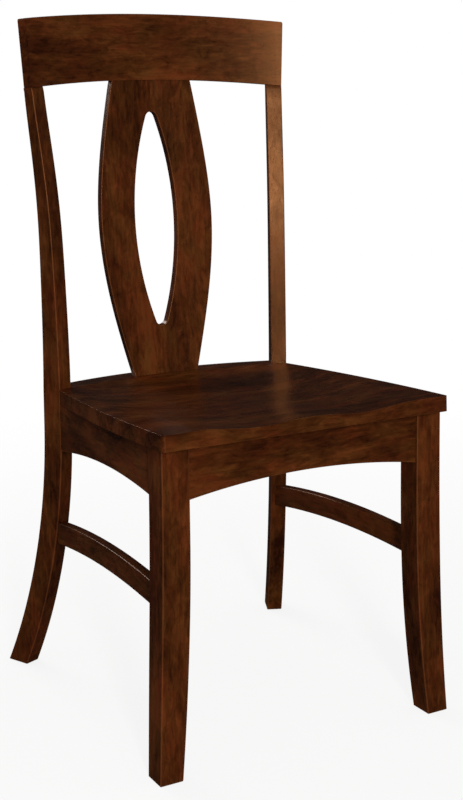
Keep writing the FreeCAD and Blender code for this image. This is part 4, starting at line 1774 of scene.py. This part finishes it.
@dataclass(frozen=True)
class Softbox:
    """A rectangular area lamp, with its places and sizes in metres and its power in watts."""

    name: str
    place: Point3
    aim: Point3
    width: float
    height: float
    power: float

    def build(self) -> bpy.types.Object:
        """Places the lamp.

        Returns:
            The lamp.
        """
        data = bpy.data.lights.new(self.name, "AREA")
        data.shape = "RECTANGLE"
        data.size, data.size_y = self.width, self.height
        data.energy = self.power
        lamp = in_scene(self.name, data)
        lamp.location = self.place
        lamp.rotation_euler = (Vector(self.place) - Vector(self.aim)).to_track_quat("Z", "Y").to_euler()
        return lamp


@dataclass
class Studio:
    """The photograph's view, a pale floor and soft light.

    The front lamp is tall and narrow, a little to the left, for soft light and long shine on the
    faces in front. The rear lamp is wide and above the chair, and gives the upper edges a glint.
    """

    eye: Point3 = (-986.4, -1556.6, 892.5)
    yaw: float = math.radians(29.03)
    pitch: float = math.radians(8.26)
    roll: float = math.radians(-0.72)
    focal_pixels: float = 1415.3
    image_height: float = 800.0
    principal_row: float = 300.0
    sensor_width: float = 36.0
    far: float = 100.0
    ambient: float = 0.44
    mirrored: float = 0.015
    white: str = "#ffffff"
    floor_colour: str = "#fbfaf8"
    floor_bounce: str = "#94928f"
    floor_lift: float = 0.84
    floor_fade: Limits = (0.4, 2.2)
    floor_reach: float = 12.0
    lamps: tuple[Softbox, ...] = (
        Softbox("front_softbox", (-1.12, -3.4, 1.42), (0.0, 0.0, 0.6), 0.36, 1.4, 72.0),
        Softbox("rear_softbox", (-0.7, 2.8, 1.9), (0.0, 0.0, 0.5), 1.6, 0.6, 28.0),
    )

    def camera(self) -> bpy.types.Object:
        """Places the camera where the photograph was taken from.

        Returns:
            The camera.
        """
        data = bpy.data.cameras.new("camera")
        data.sensor_width = self.sensor_width
        data.lens = self.focal_pixels / self.image_height * data.sensor_width
        data.shift_y = (self.principal_row - self.image_height / 2) / self.image_height
        data.clip_end = self.far
        level = math.cos(self.pitch)
        ahead = Vector((math.sin(self.yaw) * level, math.cos(self.yaw) * level, -math.sin(self.pitch)))
        right = Vector((math.cos(self.yaw), -math.sin(self.yaw), 0.0))
        up = right.cross(ahead)
        turned_right = right * math.cos(self.roll) + up * math.sin(self.roll)
        turned_up = up * math.cos(self.roll) - right * math.sin(self.roll)
        axes = Matrix((turned_right, turned_up, -ahead)).transposed()
        made = in_scene("camera", data)
        made.matrix_world = Matrix.Translation(CHAIR.place(*self.eye)) @ axes.to_4x4()
        bpy.context.scene.camera = made
        return made

    def floor(self) -> None:
        """Lays a pale floor, which keeps the chair's soft shadow and fades into the white background.

        Its white is for the camera's rays alone. For all others it is a mid grey, so that it lights
        the chair from below no more than the photograph shows.
        """
        reach = self.floor_reach
        mesh = bpy.data.meshes.new("floor")
        corners = [(-reach, -reach, 0), (reach, -reach, 0), (reach, reach, 0), (-reach, reach, 0)]
        mesh.from_pydata(corners, [], [(0, 1, 2, 3)])
        made = in_scene("floor", mesh)
        finish = bpy.data.materials.new("pale_floor")
        tree = empty_tree(finish)
        place = add_node(tree, "ShaderNodeTexCoord").outputs["Object"]
        away = add_node(tree, "ShaderNodeVectorMath", {0: place}, operation="LENGTH")
        fade = add_node(tree, "ShaderNodeMapRange", {
            "Value": away.outputs["Value"], "From Min": self.floor_fade[0], "From Max": self.floor_fade[1],
            "To Min": self.floor_lift, "To Max": 1.0,
        }, interpolation_type="SMOOTHSTEP")
        rays = add_node(tree, "ShaderNodeLightPath").outputs
        share = add_node(tree, "ShaderNodeMath", {
            0: fade.outputs["Result"], 1: rays["Is Camera Ray"],
        }, operation="MULTIPLY")
        shade = add_node(tree, "ShaderNodeMix", {
            "Factor": rays["Is Camera Ray"], "A": linear(self.floor_bounce), "B": linear(self.floor_colour),
        }, data_type="RGBA")
        paint = add_node(tree, "ShaderNodeBsdfDiffuse", {"Color": shade.outputs["Result"]})
        white = add_node(tree, "ShaderNodeEmission", {"Color": linear(self.white), "Strength": 1.0})
        mixed = add_node(tree, "ShaderNodeMixShader", {
            0: share.outputs["Value"], 1: paint.outputs["BSDF"], 2: white.outputs["Emission"],
        })
        add_node(tree, "ShaderNodeOutputMaterial", {"Surface": mixed.outputs["Shader"]})
        mesh.materials.append(finish)
        made.visible_glossy = False

    def world(self) -> None:
        """Sets an even surround that lights the chair softly and shows white behind it.

        Glossy rays get a nearly black surround instead of the white one, because the dark lacquer
        would mirror white as a milky veil that the photograph doesn't show. No visible piece is
        metal or glass.
        """
        world = bpy.data.worlds.new("studio")
        bpy.context.scene.world = world
        tree = empty_tree(world)
        rays = add_node(tree, "ShaderNodeLightPath").outputs
        seen = add_node(tree, "ShaderNodeMath", {
            0: rays["Is Camera Ray"], 1: rays["Is Transmission Ray"],
        }, operation="MAXIMUM")
        lit = add_node(tree, "ShaderNodeMix", {
            "Factor": rays["Is Glossy Ray"], "A": self.ambient, "B": self.mirrored,
        }, data_type="FLOAT")
        level = add_node(tree, "ShaderNodeMix", {
            "Factor": seen.outputs["Value"], "A": lit.outputs["Result"], "B": 1.0,
        }, data_type="FLOAT")
        shade = add_node(tree, "ShaderNodeBackground", {
            "Color": linear(self.white), "Strength": level.outputs["Result"],
        })
        add_node(tree, "ShaderNodeOutputWorld", {"Surface": shade.outputs["Background"]})

    def build(self) -> None:
        """Sets up the whole view."""
        self.camera()
        self.floor()
        self.world()
        for lamp in self.lamps:
            lamp.build()
        bpy.context.scene.view_settings.view_transform = "Standard"


def main() -> None:
    finishes = Finishes()
    Studio().build()
    Seat(finishes).build()
    for side in Side:
        RearPost(finishes, side).build()
        SplatHalf(finishes, side).build()
        FrontLeg(finishes, side).build()
    CrestRail(finishes).build()
    Aprons(finishes).build()
    Stretchers(finishes).build()
    Screws(finishes).build()
    kept = {f"corner_block_{corner}": finishes.block
            for corner in ("front_left", "front_right", "rear_left", "rear_right")}
    for node, finish in (kept | {"crest_dowels": finishes.dowel}).items():
        finishes.dress(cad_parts[node], finish)
        log.info("%s keeps its solids' own mesh", node)


if __name__ == "__main__":
    logging.basicConfig(level=logging.INFO)
    main()
